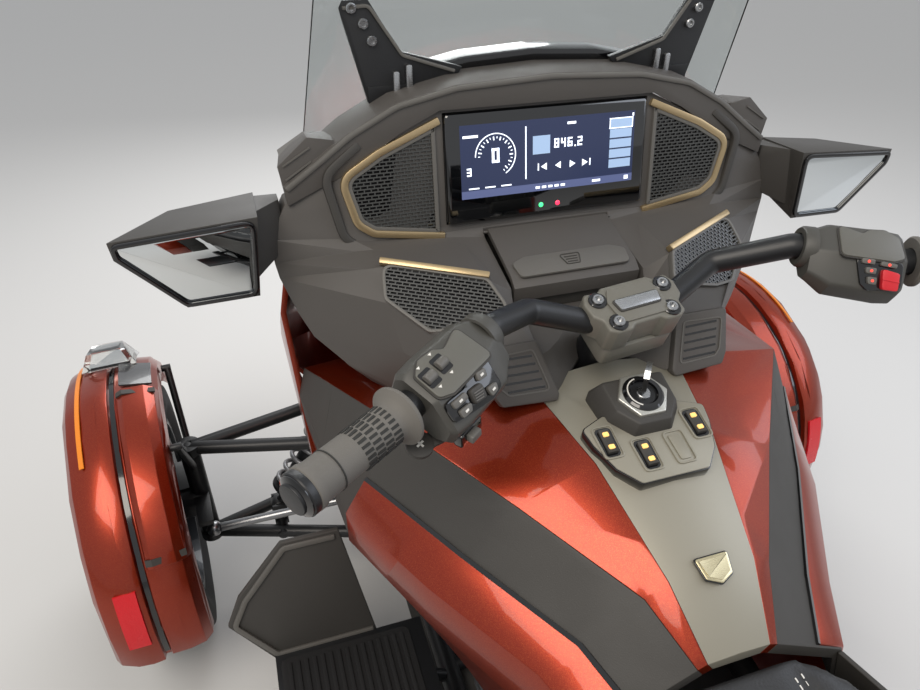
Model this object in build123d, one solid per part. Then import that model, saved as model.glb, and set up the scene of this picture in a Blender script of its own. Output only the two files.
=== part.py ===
"""Touring motor trike: two steered wheels in front, one driven wheel behind.

Millimetres. X is the rider's right, Y is forward and Z is up. The origin is on
the ground under the middle of the vehicle. The handlebar and the front wheels
are built straight ahead and then turned to the angle they were parked at.
"""
from build123d import *
import os
from math import acos, atan2, cos, hypot, radians, sin

os.makedirs("parts", exist_ok=True)

# Overall places
LENGTH = 2833
SEAM = 0.3            # shut line between neighbouring fixed panels
LID_GAP = 5           # shut line round anything that opens
AXLE_F_Y = 966
WHEELBASE = 1714
AXLE_R_Y = AXLE_F_Y - WHEELBASE
TRACK_F = 1384
TOP_Z = 1464
NOSE_Y = LENGTH / 2
TAIL_Y = -LENGTH / 2

# Wheels
TYRE_F_R = 281
TYRE_F_W = 165
TYRE_R_R = 303
TYRE_R_W = 225
BEAD_R = 190.5
RIM_F_W = 140
RIM_R_W = 190
HUB_R = 38
SPINDLE_R = 14
RUN_FIT = 0.1         # radial running clearance of a hub on its spindle
DISC_R = 135
DISC_T = 6
SPOKES = 5

# Steering
HEAD = (0, 359, 1066)                 # a point on the handlebar's axis
RAKE = 22.6                           # lean of that axis from the vertical
PARK_BAR = 6                          # degrees to the left when parked
WHEEL_PER_BAR = 0.85
PARK_WHEEL = PARK_BAR * WHEEL_PER_BAR
KINGPIN_X = 585
BALL_LOW_Z = 175
BALL_TOP_Z = 430
BALL_R = 8
STEM_R = 16
STEER_ARM = 84
TRACK_ROD_Y = AXLE_F_Y - STEER_ARM
TRACK_ROD_Z = 268

# Skins
SKIN = 8
PANEL = 12
TUB = 4
FENDER_T = 4


def block(x, y, z):
    """Box from three (low, high) pairs."""
    centre = [(a + b) / 2 for a, b in (x, y, z)]
    return Pos(*centre) * Box(x[1] - x[0], y[1] - y[0], z[1] - z[0])


def pair(shape):
    """A left-hand shape and its mirror image on the right, as one compound."""
    return Compound(children=[*shape.solids(), *mirror(shape, about=Plane.YZ).solids()])


def both(shape):
    """A left-hand shape fused with its mirror image."""
    return shape + mirror(shape, about=Plane.YZ)


def rod(start, end, r):
    """Round bar between two points."""
    axis = Vector(*end) - Vector(*start)
    return extrude(Plane(origin=start, z_dir=axis) * Circle(r), axis.length)


def tube(points, r, bend=60):
    """Bar bent through a list of points, with arcs of one radius."""
    path = FilletPolyline(*points, radius=bend) if len(points) > 2 else Line(*points)
    return sweep(Plane(origin=path @ 0, z_dir=path % 0) * Circle(r), path=path)


def side_prism(outline, x):
    """Outline of (y, z) points, carried from x[0] to x[1]."""
    face = make_face(Polyline(*[(x[0], y, z) for y, z in outline], close=True))
    return extrude(face, x[1] - x[0], dir=(1, 0, 0))


def plan_prism(outline, z):
    """Outline of (x, y) points, carried from z[0] to z[1]."""
    face = make_face(Polyline(*[(px, py, z[0]) for px, py in outline], close=True))
    return extrude(face, z[1] - z[0], dir=(0, 0, 1))


def front_prism(outline, y):
    """Outline of (x, z) points, carried from y[0] to y[1]."""
    face = make_face(Polyline(*[(px, y[0], pz) for px, pz in outline], close=True))
    return extrude(face, y[1] - y[0], dir=(0, 1, 0))


def backed(rows, back_y):
    """Solid behind a net of points: rows from the top down, half rows from the middle outward.

    The net faces the rider; its rim is carried straight forward to back_y.
    """
    full = [[(-x, y, z) for x, y, z in reversed(row[1:])] + row for row in rows]
    faces = []
    for above, below in zip(full, full[1:]):
        for i in range(len(above) - 1):
            middle = i < len(above) // 2
            a, b, c, d = above[i], above[i + 1], below[i + 1], below[i]
            faces += [(a, b, c), (a, c, d)] if middle else [(a, b, d), (b, c, d)]
    rim = full[0] + [row[-1] for row in full[1:-1]] + full[-1][::-1] + [row[0] for row in full[-2:0:-1]]
    for p, q in zip(rim, rim[1:] + rim[:1]):
        far_p, far_q = (p[0], back_y, p[2]), (q[0], back_y, q[2])
        faces.append((p, q, far_q, far_p))
    faces.append(tuple((x, back_y, z) for x, _, z in rim))
    return Solid(Shell([face_at(list(points)).faces()[0] for points in faces]))


def face_at(points):
    """Plane polygon through points in space."""
    return make_face(Polyline(*points, close=True))


def whole(half):
    """A half outline, from the middle to the middle, and its mirror image."""
    return half + [(-a, b) for a, b in reversed(half) if abs(a) > 1e-6]


def wheel_place(side):
    """Where a front wheel's centre is, side being -1 on the left."""
    return Pos(side * TRACK_F / 2, AXLE_F_Y, TYRE_F_R)


def park(shape, side):
    """Turn a front-wheel piece about its kingpin to the parked angle."""
    pin = Axis((side * KINGPIN_X, AXLE_F_Y, 0), (0, 0, 1))
    return shape.rotate(pin, PARK_WHEEL)


def park_bar(shape):
    """Turn a handlebar piece about the steering axis to the parked angle."""
    lean = radians(RAKE)
    return shape.rotate(Axis(HEAD, (0, -sin(lean), cos(lean))), PARK_BAR)


PIN_R = 3


def hinge(at, along, stations):
    """Pins in their lugs, and the barrels that turn on them, along X or Y."""
    turn = Rot(0, 90, 0) if along == "X" else Rot(90, 0, 0)
    step = Vector(1, 0, 0) if along == "X" else Vector(0, 1, 0)
    pins, barrels = [], []
    for station in stations:
        centre = Vector(*at) + step * station
        pins.append(Pos(*centre) * turn * Cylinder(PIN_R, 66))
        barrels.append(Pos(*centre) * turn * Cylinder(2 * PIN_R, 40))
    return pins, barrels


def bore(at, along, reach=3000):
    """Hole for a hinge pin, right along its axis."""
    turn = Rot(0, 90, 0) if along == "X" else Rot(90, 0, 0)
    return Pos(*at) * turn * Cylinder(PIN_R + RUN_FIT, reach)


def save(name, shape):
    """Write one node."""
    export_step(shape, f"parts/{name}.step")


# Wheels

def tyre(radius, width):
    """Tyre about the X axis: flat crown, round shoulders, bulging walls."""
    half = width / 2
    wall = half * 0.78
    shoulder = radius - 0.22 * (radius - BEAD_R)
    outline = [
        (-wall, BEAD_R), (-half, (BEAD_R + shoulder) / 2), (-half * 0.96, shoulder),
        (-half * 0.72, radius - 3), (0, radius),
        (half * 0.72, radius - 3), (half * 0.96, shoulder), (half, (BEAD_R + shoulder) / 2),
        (wall, BEAD_R),
    ]
    return revolve(make_face(Polyline(*outline, close=True)), Axis.X)


def rim(width, face_x, hub_reach):
    """Cast wheel about the X axis; face_x is where its spokes stand."""
    half = width / 2
    well = BEAD_R - 14
    ring = revolve(make_face(Polyline(
        (-half, well), (-half, BEAD_R), (half, BEAD_R), (half, well), close=True)), Axis.X)
    hub = Rot(0, 90, 0) * Cylinder(HUB_R, 2 * hub_reach)
    hub -= Rot(0, 90, 0) * Cylinder(SPINDLE_R + RUN_FIT, 4 * hub_reach)
    dish = 26
    spoke = Pos(face_x, 0, (HUB_R + well) / 2) * Box(dish, 34, well - HUB_R + 8)
    slot = Pos(face_x, 0, 110) * Box(2 * dish, 12, 90)
    wheel = ring + hub
    for i in range(SPOKES):
        wheel += Rot(360 / SPOKES * i, 0, 0) * (spoke - slot)
    return wheel


def disc(x):
    """Brake disc with its carrier, at x along the axle."""
    plate = Pos(x, 0, 0) * Rot(0, 90, 0) * Cylinder(DISC_R, DISC_T)
    return plate - Pos(x, 0, 0) * Rot(0, 90, 0) * Cylinder(HUB_R - 2, 2 * DISC_T)


DISC_INSET = 45       # front disc, from the wheel's middle towards the kingpin
for name, side in (("left", -1), ("right", 1)):
    inner = -side
    place = wheel_place(side)
    save(f"tyre_front_{name}", park(place * tyre(TYRE_F_R, TYRE_F_W), side))
    alloy = rim(RIM_F_W, side * 30, DISC_INSET) + disc(inner * (DISC_INSET - DISC_T / 2))
    save(f"rim_front_{name}", park(place * alloy, side))

REAR_HUB = 118
PULLEY_X = -131
PULLEY_R = 112
REAR_DISC_X = 128
rear_place = Pos(0, AXLE_R_Y, TYRE_R_R)
save("tyre_rear", rear_place * tyre(TYRE_R_R, TYRE_R_W))
rear_rim = rim(RIM_R_W, 0, REAR_HUB) + disc(REAR_DISC_X - 10)
pulley = Pos(PULLEY_X, 0, 0) * Rot(0, 90, 0) * Cylinder(PULLEY_R, 30)
pulley += Pos((PULLEY_X - REAR_HUB) / 2 - 4, 0, 0) * Rot(0, 90, 0) * Cylinder(HUB_R + 10, 30)
pulley -= Pos(PULLEY_X, 0, 0) * Rot(0, 90, 0) * Cylinder(SPINDLE_R + RUN_FIT, 90)
save("rim_rear", rear_place * (rear_rim + pulley))


# Front suspension and steering

BOX_X, BOX_Y, BOX_Z = 300, 320, (155, 445)   # front subframe, outside
BOX_BAR = 30                                 # its square bar
BUSH_R = 22
ARM_ROOT_X = BOX_X / 2 + BUSH_R + SEAM
ARM_SPAN = 130
ARM_R = 14


def wishbone(z_root, z_ball, spread):
    """Left-hand A-arm: two legs, two bushes and a ball-joint boss."""
    ball = (-KINGPIN_X, AXLE_F_Y, z_ball)
    arm = Pos(ball) * Cylinder(24, 22)
    for way in (-1, 1):
        root = (-ARM_ROOT_X, AXLE_F_Y + way * spread, z_root)
        arm += rod(root, ball, ARM_R)
        arm += Pos(root) * Rot(90, 0, 0) * Cylinder(BUSH_R, 44)
    return arm - Pos(ball) * Cylinder(BALL_R + SEAM, 60)


low_arm = wishbone(BOX_Z[0] + BOX_BAR / 2, BALL_LOW_Z, ARM_SPAN)
top_arm = wishbone(BOX_Z[1] - BOX_BAR / 2, BALL_TOP_Z, ARM_SPAN - 30)
SHOCK_FOOT = (-430, AXLE_F_Y, 212)
EYE_R, EYE_W = 18, 30
SHOCK_HEAD = (-215, AXLE_F_Y, 548)
low_arm += rod((SHOCK_FOOT[0], AXLE_F_Y - 62, 174), (SHOCK_FOOT[0], AXLE_F_Y + 62, 174), 12)
for way in (-1, 1):
    ear_y = AXLE_F_Y + way * (EYE_W / 2 + SEAM + 3)
    low_arm += Pos(SHOCK_FOOT[0], ear_y, 196) * Box(30, 6, 60)
save("suspension_arms", Compound(children=[*pair(low_arm).solids(), *pair(top_arm).solids()]))


def damper(foot, head, pin, coil_r, coils):
    """Coil-over: body, rod, spring shown as a row of rings, and two eyes."""
    axis = Vector(*head) - Vector(*foot)
    length = axis.length
    frame = Plane(origin=foot, x_dir=Vector(*pin).cross(axis), z_dir=axis)
    lower, upper = 60, length - 60
    pitch = (upper - lower) / coils
    outline = [(0, 10), (13, 10), (13, 32), (20, 32), (20, lower - 8), (coil_r + 4, lower - 8), (coil_r + 4, lower)]
    for i in range(coils):
        base = lower + i * pitch
        outline += [(coil_r - 12, base + 0.5), (coil_r, base + pitch * 0.3)]
        outline += [(coil_r, base + pitch * 0.6), (coil_r - 12, base + pitch * 0.95)]
    outline += [(coil_r + 4, upper), (coil_r + 4, upper + 8), (20, upper + 8)]
    outline += [(20, length - 32), (13, length - 32), (13, length - 10), (0, length - 10)]
    body = revolve(make_face(Polyline(*[(r, 0, z) for r, z in outline], close=True)), Axis.Z)
    eye = Rot(90, 0, 0) * Cylinder(EYE_R, EYE_W)
    body += eye
    body += Pos(0, 0, length) * eye
    return frame * body


front_shock = damper(SHOCK_FOOT, SHOCK_HEAD, (0, 1, 0), 42, 8)
REAR_SHOCK = ((0, -390, 325), (0, -318, 565))
save("shock_absorbers", Compound(children=[
    *pair(front_shock).solids(), *damper(*REAR_SHOCK, (1, 0, 0), 40, 6).solids()]))

TRACK_R = 13
rack = Pos(0, TRACK_ROD_Y, TRACK_ROD_Z) * Rot(0, 90, 0) * Cylinder(26, 300)
rack += rod((0, TRACK_ROD_Y - 4, TRACK_ROD_Z + 20), (0, 640, 520), 20)
for side in (-1, 1):
    rack += Pos(side * 135, TRACK_ROD_Y, 0) * block((-10, 10), (-12, 12), (BOX_Z[0] + BOX_BAR + SEAM, TRACK_ROD_Z))
save("steering_rack", rack - Pos(0, TRACK_ROD_Y, TRACK_ROD_Z) * Rot(0, 90, 0) * Cylinder(TRACK_R + RUN_FIT, 400))

track_bar = Pos(0, TRACK_ROD_Y, TRACK_ROD_Z) * Rot(0, 90, 0) * Cylinder(TRACK_R, 420)
joint_x = KINGPIN_X - 12
for side in (-1, 1):
    end = (side * joint_x, TRACK_ROD_Y, TRACK_ROD_Z)
    track_bar += rod((side * 205, TRACK_ROD_Y, TRACK_ROD_Z), end, 9)
    track_bar += Pos(end) * Sphere(16)
save("tie_rods", Pos(STEER_ARM * sin(radians(PARK_WHEEL)), 0, 0) * track_bar)


def knuckle(side):
    """Upright on the kingpin, with spindle, steering arm, caliper and fender stay."""
    out = side
    pin_x = side * KINGPIN_X
    low = BALL_LOW_Z + 16
    high = BALL_TOP_Z - 16
    post = Pos(pin_x, AXLE_F_Y, (low + high) / 2) * Cylinder(20, high - low)
    post += Pos(pin_x, AXLE_F_Y, (BALL_LOW_Z + BALL_TOP_Z) / 2) * Cylinder(BALL_R, BALL_TOP_Z - BALL_LOW_Z + 22)
    post += Pos(pin_x + out * 22, AXLE_F_Y, TYRE_F_R) * Rot(0, 90, 0) * Cylinder(34, 44)
    spindle_end = TRACK_F / 2 + DISC_INSET + 12
    post += rod((pin_x, AXLE_F_Y, TYRE_F_R), (side * spindle_end, AXLE_F_Y, TYRE_F_R), SPINDLE_R)
    arm_z = TRACK_ROD_Z + 34
    post += block(sorted((pin_x - 15, pin_x + 15)), (TRACK_ROD_Y - 14, AXLE_F_Y), (arm_z - 6, arm_z + 6))
    caliper_x = side * (TRACK_F / 2 - DISC_INSET + DISC_T / 2)
    gap = DISC_T / 2 + 1
    jaw = Pos(caliper_x, AXLE_F_Y + 104, TYRE_F_R + 30) * Box(44, 70, 90)
    jaw -= Pos(caliper_x, AXLE_F_Y, TYRE_F_R) * Rot(0, 90, 0) * Cylinder(DISC_R + 4, 2 * gap)
    post += jaw
    post += block(sorted((pin_x, caliper_x - out * 8)), (AXLE_F_Y, AXLE_F_Y + 90), (TYRE_F_R + 10, TYRE_F_R + 40))
    stay_x, stay_r, stay_y = 592, 299, 130
    stay_z = TYRE_F_R + (stay_r ** 2 - stay_y ** 2) ** 0.5
    for way in (-1, 1):
        knee = (side * stay_x, AXLE_F_Y + way * stay_y, stay_z)
        post += rod((pin_x, AXLE_F_Y + way * 17, high - 20), knee, 7)
        post += rod((side * (stay_x - 7), knee[1], stay_z), (side * (FENDER_IN - SEAM), knee[1], stay_z), 7)
    return post


# Front fenders: (x, radius) of the skin's outside, from the outer wall over the crease and the slot
FENDER_R = 337
FENDER_OUT = 777
FENDER_IN = 604
FENDER_FROM = 22
FENDER_TO = 188
SLOT_FLOOR = 325
fender_skin = [
    (FENDER_OUT, 292), (FENDER_OUT, 306), (768, 320), (740, 333), (715, FENDER_R), (695, FENDER_R - 1),
    (692, SLOT_FLOOR), (685, SLOT_FLOOR), (682, 330), (650, 331), (622, 327), (608, 314), (FENDER_IN, 292),
]
hump_skin = [(681, 322), (678, 336), (668, 341), (630, 339), (614, 330), (607, 316), (640, 312)]
HUMP_FROM = 92
HUMP_TO = 152


def about_axle(side, outline, first, last):
    """Outline of (x, radius) points, swept about the front axle between two angles."""
    section = face_at([(side * x, AXLE_F_Y + r, TYRE_F_R) for x, r in outline])
    axle = Axis((0, AXLE_F_Y, TYRE_F_R), (1, 0, 0))
    return revolve(section.rotate(axle, first), axle, revolution_arc=last - first)


def fender(side):
    """Arched guard over the tyre, with a slot round it and a raised inner hump."""
    hollow = [(FENDER_OUT - FENDER_T, 280), (FENDER_OUT - FENDER_T, 304), (765, 316), (738, SLOT_FLOOR - FENDER_T),
              (622, SLOT_FLOOR - FENDER_T), (612, 312), (FENDER_IN + FENDER_T, 290), (FENDER_IN + FENDER_T, 280)]
    guard = about_axle(side, fender_skin, FENDER_FROM, FENDER_TO)
    guard += about_axle(side, hump_skin, HUMP_FROM, HUMP_TO)
    return guard - about_axle(side, hollow, FENDER_FROM - 2, FENDER_TO + 2)


LAMP_A = 68
for name, side in (("left", -1), ("right", 1)):
    save(f"knuckle_{name}", park(knuckle(side), side))
    save(f"fender_{name}", park(fender(side), side))
    top = FENDER_R - 3
    lamp = loft([
        face_at([(side * 640, -46, top), (side * 740, -46, top), (side * 740, 60, top), (side * 640, 60, top)]),
        face_at([(side * 655, -40, top + 34), (side * 725, -40, top + 34), (side * 718, 20, top + 40), (side * 662, 20, top + 40)]),
    ])
    lamp = Pos(0, AXLE_F_Y, TYRE_F_R) * Rot(LAMP_A - 90, 0, 0) * lamp
    lamp -= Pos(0, AXLE_F_Y, TYRE_F_R) * Rot(0, 90, 0) * Cylinder(FENDER_R + SEAM, 2000)
    save(f"fender_lamp_{name}", park(lamp, side))


# Rear suspension and drive

SWING_Y, SWING_Z = -250, 330
PIVOT_X, PIVOT_T, PIVOT_R = 165, 20, 26
SWING_R = 24
SWING_X = PIVOT_X + PIVOT_T / 2 + SWING_R + SEAM
arms = rod((-SWING_X, SWING_Y, SWING_Z), (SWING_X, SWING_Y, SWING_Z), PIVOT_R)
for side in (-1, 1):
    arms += rod((side * SWING_X, SWING_Y, SWING_Z), (side * SWING_X, AXLE_R_Y, TYRE_R_R), SWING_R)
    arms += Pos(side * SWING_X, AXLE_R_Y, TYRE_R_R) * Rot(0, 90, 0) * Cylinder(34, 44)
    ear_x = side * (EYE_W / 2 + SEAM + 3)
    arms += block(sorted((ear_x - 3, ear_x + 3)), (-408, -345), (308, 342))
arms += rod((-SWING_X, -345, SWING_Z - 6), (SWING_X, -345, SWING_Z - 6), 20)
arms += rod((-SWING_X, AXLE_R_Y, TYRE_R_R), (SWING_X, AXLE_R_Y, TYRE_R_R), SPINDLE_R)
arms -= block((-EYE_W / 2 - SEAM, EYE_W / 2 + SEAM), (-420, -368), (290, 360))
save("swingarm", arms)

BELT_W = 24
BELT_T = 6
DRIVE_Y, DRIVE_Z, DRIVE_R = -190, 330, 46


def belt_loop(extra):
    """Straight-sided loop round the drive pulley and the rear pulley."""
    rear = Pos(PULLEY_X, AXLE_R_Y, TYRE_R_R) * Rot(0, 90, 0) * Cylinder(PULLEY_R + extra, BELT_W)
    front = Pos(PULLEY_X, DRIVE_Y, DRIVE_Z) * Rot(0, 90, 0) * Cylinder(DRIVE_R + extra, BELT_W)
    run = hypot(AXLE_R_Y - DRIVE_Y, TYRE_R_R - DRIVE_Z)
    slope = atan2(DRIVE_Z - TYRE_R_R, DRIVE_Y - AXLE_R_Y)
    wrap = acos((PULLEY_R - DRIVE_R) / run)
    outline = []
    for centre_y, centre_z, r in ((AXLE_R_Y, TYRE_R_R, PULLEY_R), (DRIVE_Y, DRIVE_Z, DRIVE_R)):
        for way in (1, -1):
            a = slope + way * wrap
            outline.append((centre_y + (r + extra) * cos(a), centre_z + (r + extra) * sin(a)))
    rear_top, rear_low, front_top, front_low = outline
    web = side_prism([rear_top, front_top, front_low, rear_low], (PULLEY_X - BELT_W / 2, PULLEY_X + BELT_W / 2))
    return rear + front + web


belt = belt_loop(BELT_T) - belt_loop(0.3)
save("drive_belt", belt)

GUARD_R = TYRE_R_R + 42
GUARD_W = 150
guard_ring = Rot(0, 90, 0) * (Cylinder(GUARD_R, 2 * GUARD_W) - Cylinder(GUARD_R - 5, 2 * GUARD_W + 2))
guard_ring = Pos(0, AXLE_R_Y, TYRE_R_R) * guard_ring
guard = guard_ring & block((-GUARD_W, GUARD_W), (AXLE_R_Y - 400, AXLE_R_Y + 260), (TYRE_R_R + 150, 900))
plate_y = TAIL_Y + 62
PLATE_Z = 470
holder = block((-95, 95), (plate_y, plate_y + 6), (PLATE_Z - 75, PLATE_Z + 75))
holder += side_prism([(plate_y, 525), (AXLE_R_Y - 268, 505), (AXLE_R_Y - 262, 530), (plate_y, 560)], (-60, 60))
BOLT_X, BOLT_Z, BOLT_R = 145, 70, 3.5
for bx in (-BOLT_X / 2, BOLT_X / 2):
    for bz in (-BOLT_Z / 2, BOLT_Z / 2):
        holder -= Pos(bx, plate_y + 3, PLATE_Z + bz) * Rot(90, 0, 0) * Cylinder(BOLT_R, 20)
save("rear_fender", guard + holder)


# Frame and running gear under the skin

TOP_LOW = 780         # underside of the top case
TRUNK_Z = 590         # underside of the front trunk
ENGINE_X, ENGINE_Y, ENGINE_Z = (-135, 135), (-120, 440), (190, 560)
STEP_X, STEP_Y, STEP_Z = 240, (-520, -350), 395   # hinge line of the passenger boards

RAIL_R = 20
RAIL_Z = 160
box_mid = Pos(0, AXLE_F_Y, sum(BOX_Z) / 2)
box_tall = BOX_Z[1] - BOX_Z[0]
frame = box_mid * Box(BOX_X, BOX_Y, box_tall)
frame -= box_mid * Box(BOX_X - 2 * BOX_BAR, 2 * BOX_Y, box_tall - 2 * BOX_BAR)
frame -= box_mid * Box(2 * BOX_X, BOX_Y - 80, box_tall - 2 * BOX_BAR)
frame -= box_mid * Box(BOX_X - 2 * BOX_BAR, BOX_Y - 80, 2 * box_tall)
RAIL_X = 165
SPINE_X, SPINE_R = 90, 16
for side in (-1, 1):
    frame += tube([(side * 130, AXLE_F_Y - 150, RAIL_Z + 20), (side * RAIL_X, 600, RAIL_Z),
                   (side * RAIL_X, -150, RAIL_Z), (side * RAIL_X, SWING_Y + 25, SWING_Z - 45)], RAIL_R)
    frame += tube([(side * 120, AXLE_F_Y - 150, 430), (side * 120, 640, 640), (side * SPINE_X, 60, 640),
                   (side * SPINE_X, -520, 668), (side * SPINE_X, -1290, 700)], SPINE_R)
    frame += rod((side * PIVOT_X, SWING_Y + 25, SWING_Z - 10), (side * PIVOT_X, SWING_Y + 15, 600), 16)
    frame += rod((side * PIVOT_X, SWING_Y + 15, 598), (side * SPINE_X, -330, 655), 14)
    frame += Pos(side * PIVOT_X, SWING_Y, SWING_Z) * Rot(0, 90, 0) * Cylinder(46, PIVOT_T)
    for way in (-1, 1):
        ear_y = AXLE_F_Y + way * (EYE_W / 2 + SEAM + 8)
        frame += rod((side * 135, ear_y, 430), (side * 215, ear_y, 548), 8)
    for y in (-1000, -1280):
        frame += rod((side * SPINE_X, y, 690), (side * SPINE_X, y, TOP_LOW - SEAM), 10)
    for y in (AXLE_F_Y - 116, AXLE_F_Y + 124):
        frame += rod((side * 135, y, BOX_Z[1] - 5), (side * 135, y, TRUNK_Z - SEAM), 10)
    for y in (0, 340):
        lug_x = sorted((side * (ENGINE_X[1] + SEAM), side * RAIL_X))
        frame += block(lug_x, (y - 20, y + 20), (RAIL_Z, 240))
    frame += rod((side * SPINE_X, AXLE_R_Y, TYRE_R_R + GUARD_R + SEAM), (side * SPINE_X, AXLE_R_Y, 672), 8)
    frame += rod((side * PIVOT_X, SWING_Y + 22, 420), (side * STEP_X, STEP_Y[1] + 12, STEP_Z), 10)
    frame += rod((side * STEP_X, STEP_Y[1] + 16, STEP_Z), (side * STEP_X, STEP_Y[0], STEP_Z), 5)
frame += rod((-RAIL_X, -150, RAIL_Z), (RAIL_X, -150, RAIL_Z), 14)
frame += rod((-RAIL_X, 500, RAIL_Z), (RAIL_X, 500, RAIL_Z), 14)
frame += rod((-SPINE_X, -330, 655), (SPINE_X, -330, 655), 14)
frame += rod((-SPINE_X, -853, 682), (SPINE_X, -853, 682), 12)
frame += rod((-115, 640, 640), (115, 640, 640), 14)
frame += rod((-110, 511, 640), (110, 511, 640), 14)
for way in (-1, 1):
    ear_x = way * (EYE_W / 2 + SEAM + 3)
    frame += block(sorted((ear_x - 3, ear_x + 3)), (-336, -300), (548, 660))


def on_axis(z):
    """Point of the steering axis at a height."""
    return (0, HEAD[1] + (HEAD[2] - z) * sin(radians(RAKE)) / cos(radians(RAKE)), z)


HEAD_R = 24
HEAD_TOP_Z = 968
frame += rod(on_axis(650), on_axis(HEAD_TOP_Z), HEAD_R)
frame -= rod(on_axis(860), on_axis(HEAD_TOP_Z + 40), STEM_R + RUN_FIT)
frame -= rod((-400, SWING_Y, SWING_Z), (400, SWING_Y, SWING_Z), PIVOT_R + SEAM)
save("frame", frame)

save("engine_block", block(ENGINE_X, ENGINE_Y, ENGINE_Z))

PAN_Z = 115
PAN_T = 8
PAN_BACK, PAN_TURN, PAN_FRONT, PAN_RISE = -220, 1060, 1180, 50
pan = side_prism([(PAN_BACK, PAN_Z), (PAN_TURN, PAN_Z), (PAN_FRONT, PAN_Z + PAN_RISE),
                  (PAN_FRONT, PAN_Z + PAN_RISE + PAN_T), (PAN_TURN, PAN_Z + PAN_T), (PAN_BACK, PAN_Z + PAN_T)],
                 (-200, 200))
save("belly_pan", pan)


# Front body: half outlines (x, z), from the top middle to the bottom middle, at each y
body_sections = {
    NOSE_Y: [(0, 520), (90, 512), (150, 470), (165, 400), (150, 330), (90, 270), (0, 262)],
    1300: [(0, 640), (130, 625), (235, 560), (290, 450), (280, 330), (200, 235), (0, 225)],
    1100: [(0, 830), (150, 805), (270, 710), (345, 560), (345, 480), (320, 440), (0, 430)],
    850: [(0, 1000), (180, 975), (300, 880), (360, 720), (350, 560), (330, 480), (0, 470)],
    640: [(0, 1180), (200, 1150), (335, 1070), (366, 920), (352, 640), (330, 560), (0, 540)],
}


def section_face(y, half):
    """One closed body section."""
    return face_at([(x, y, z) for x, z in whole(half)])


def inset(half, by):
    """The same section, drawn in by a wall on every side."""
    wide = max(x for x, z in half)
    zs = [z for x, z in half]
    mid, tall = (max(zs) + min(zs)) / 2, (max(zs) - min(zs)) / 2
    return [(x * (wide - by) / wide, mid + (z - mid) * (tall - by) / tall) for x, z in half]


skin_outer = loft([section_face(y, half) for y, half in body_sections.items()])
skin_inner = loft([section_face(y - (SKIN if y == NOSE_Y else 0), inset(half, SKIN))
                   for y, half in body_sections.items()])
skin = skin_outer - skin_inner

HOOD_BACK = 775
HOOD_FRONT = 1320
hood_plan = [(-215, HOOD_BACK), (215, HOOD_BACK), (235, 1120), (130, HOOD_FRONT), (-130, HOOD_FRONT), (-235, 1120)]
hood_cut_plan = [(-215 - LID_GAP, HOOD_BACK - LID_GAP), (215 + LID_GAP, HOOD_BACK - LID_GAP),
                 (235 + LID_GAP, 1120), (130 + LID_GAP, HOOD_FRONT + LID_GAP),
                 (-130 - LID_GAP, HOOD_FRONT + LID_GAP), (-235 - LID_GAP, 1120)]
above = (585, 1300)
HOOD_AXIS = (0, 768, 1066)
hood_pins, hood_barrels = hinge(HOOD_AXIS, "X", (-70, 70))
hood = skin & plan_prism(hood_plan, above)
for x, barrel in zip((-70, 70), hood_barrels):
    hood += barrel + block((x - 20, x + 20), (HOOD_AXIS[1] + 3.5, HOOD_BACK + 11), (1020, HOOD_AXIS[2] + 2))
save("hood", hood - bore(HOOD_AXIS, "X"))
rest = skin - plan_prism(hood_cut_plan, above)
FASCIA_Y = 1150
fascia = rest & block((-500, 500), (FASCIA_Y + SEAM / 2, 1500), (0, 1300))
for z in (300, 350, 400, 450):
    fascia -= block((-110, 110), (1320, 1500), (z - 14, z + 14))
cowl = rest & block((-500, 500), (640 + SEAM, FASCIA_Y - SEAM / 2), (500, 1300))
cowl -= block((-318, 318), (600, 1200), (400, 600))

LAMP_Z = 545
lamp_block = Pos(-185, 1320, LAMP_Z) * Rot(0, 0, 18) * Box(120, 220, 66)
lamp_shape = skin_outer & lamp_block
fascia -= both(Pos(-185, 1320, LAMP_Z) * Rot(0, 0, 18) * Box(120 + 2 * SEAM, 240, 66 + 2 * SEAM))
save("nose_fascia", fascia)
save("headlamps", pair(lamp_shape))
for x, pin in zip((-70, 70), hood_pins):
    cowl += pin
    for way in (-1, 1):
        lug = x + way * 30
        cowl += block((lug - 3, lug + 3), (HOOD_AXIS[1] - 18, HOOD_AXIS[1] + 1), (1040, HOOD_AXIS[2] + 5))
save("side_fairing", cowl)

TRUNK_X = 200
trunk_outline = [(775, TRUNK_Z), (775, 995), (1150, 695), (1150, TRUNK_Z)]
trunk = side_prism(trunk_outline, (-TRUNK_X, TRUNK_X))
trunk_inside = [(775 + TUB, TRUNK_Z + TUB), (775 + TUB, 1100), (1150 - TUB, 1000), (1150 - TUB, TRUNK_Z + TUB)]
trunk -= side_prism(trunk_inside, (-TRUNK_X + TUB, TRUNK_X - TUB))
save("front_trunk", trunk)


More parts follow.
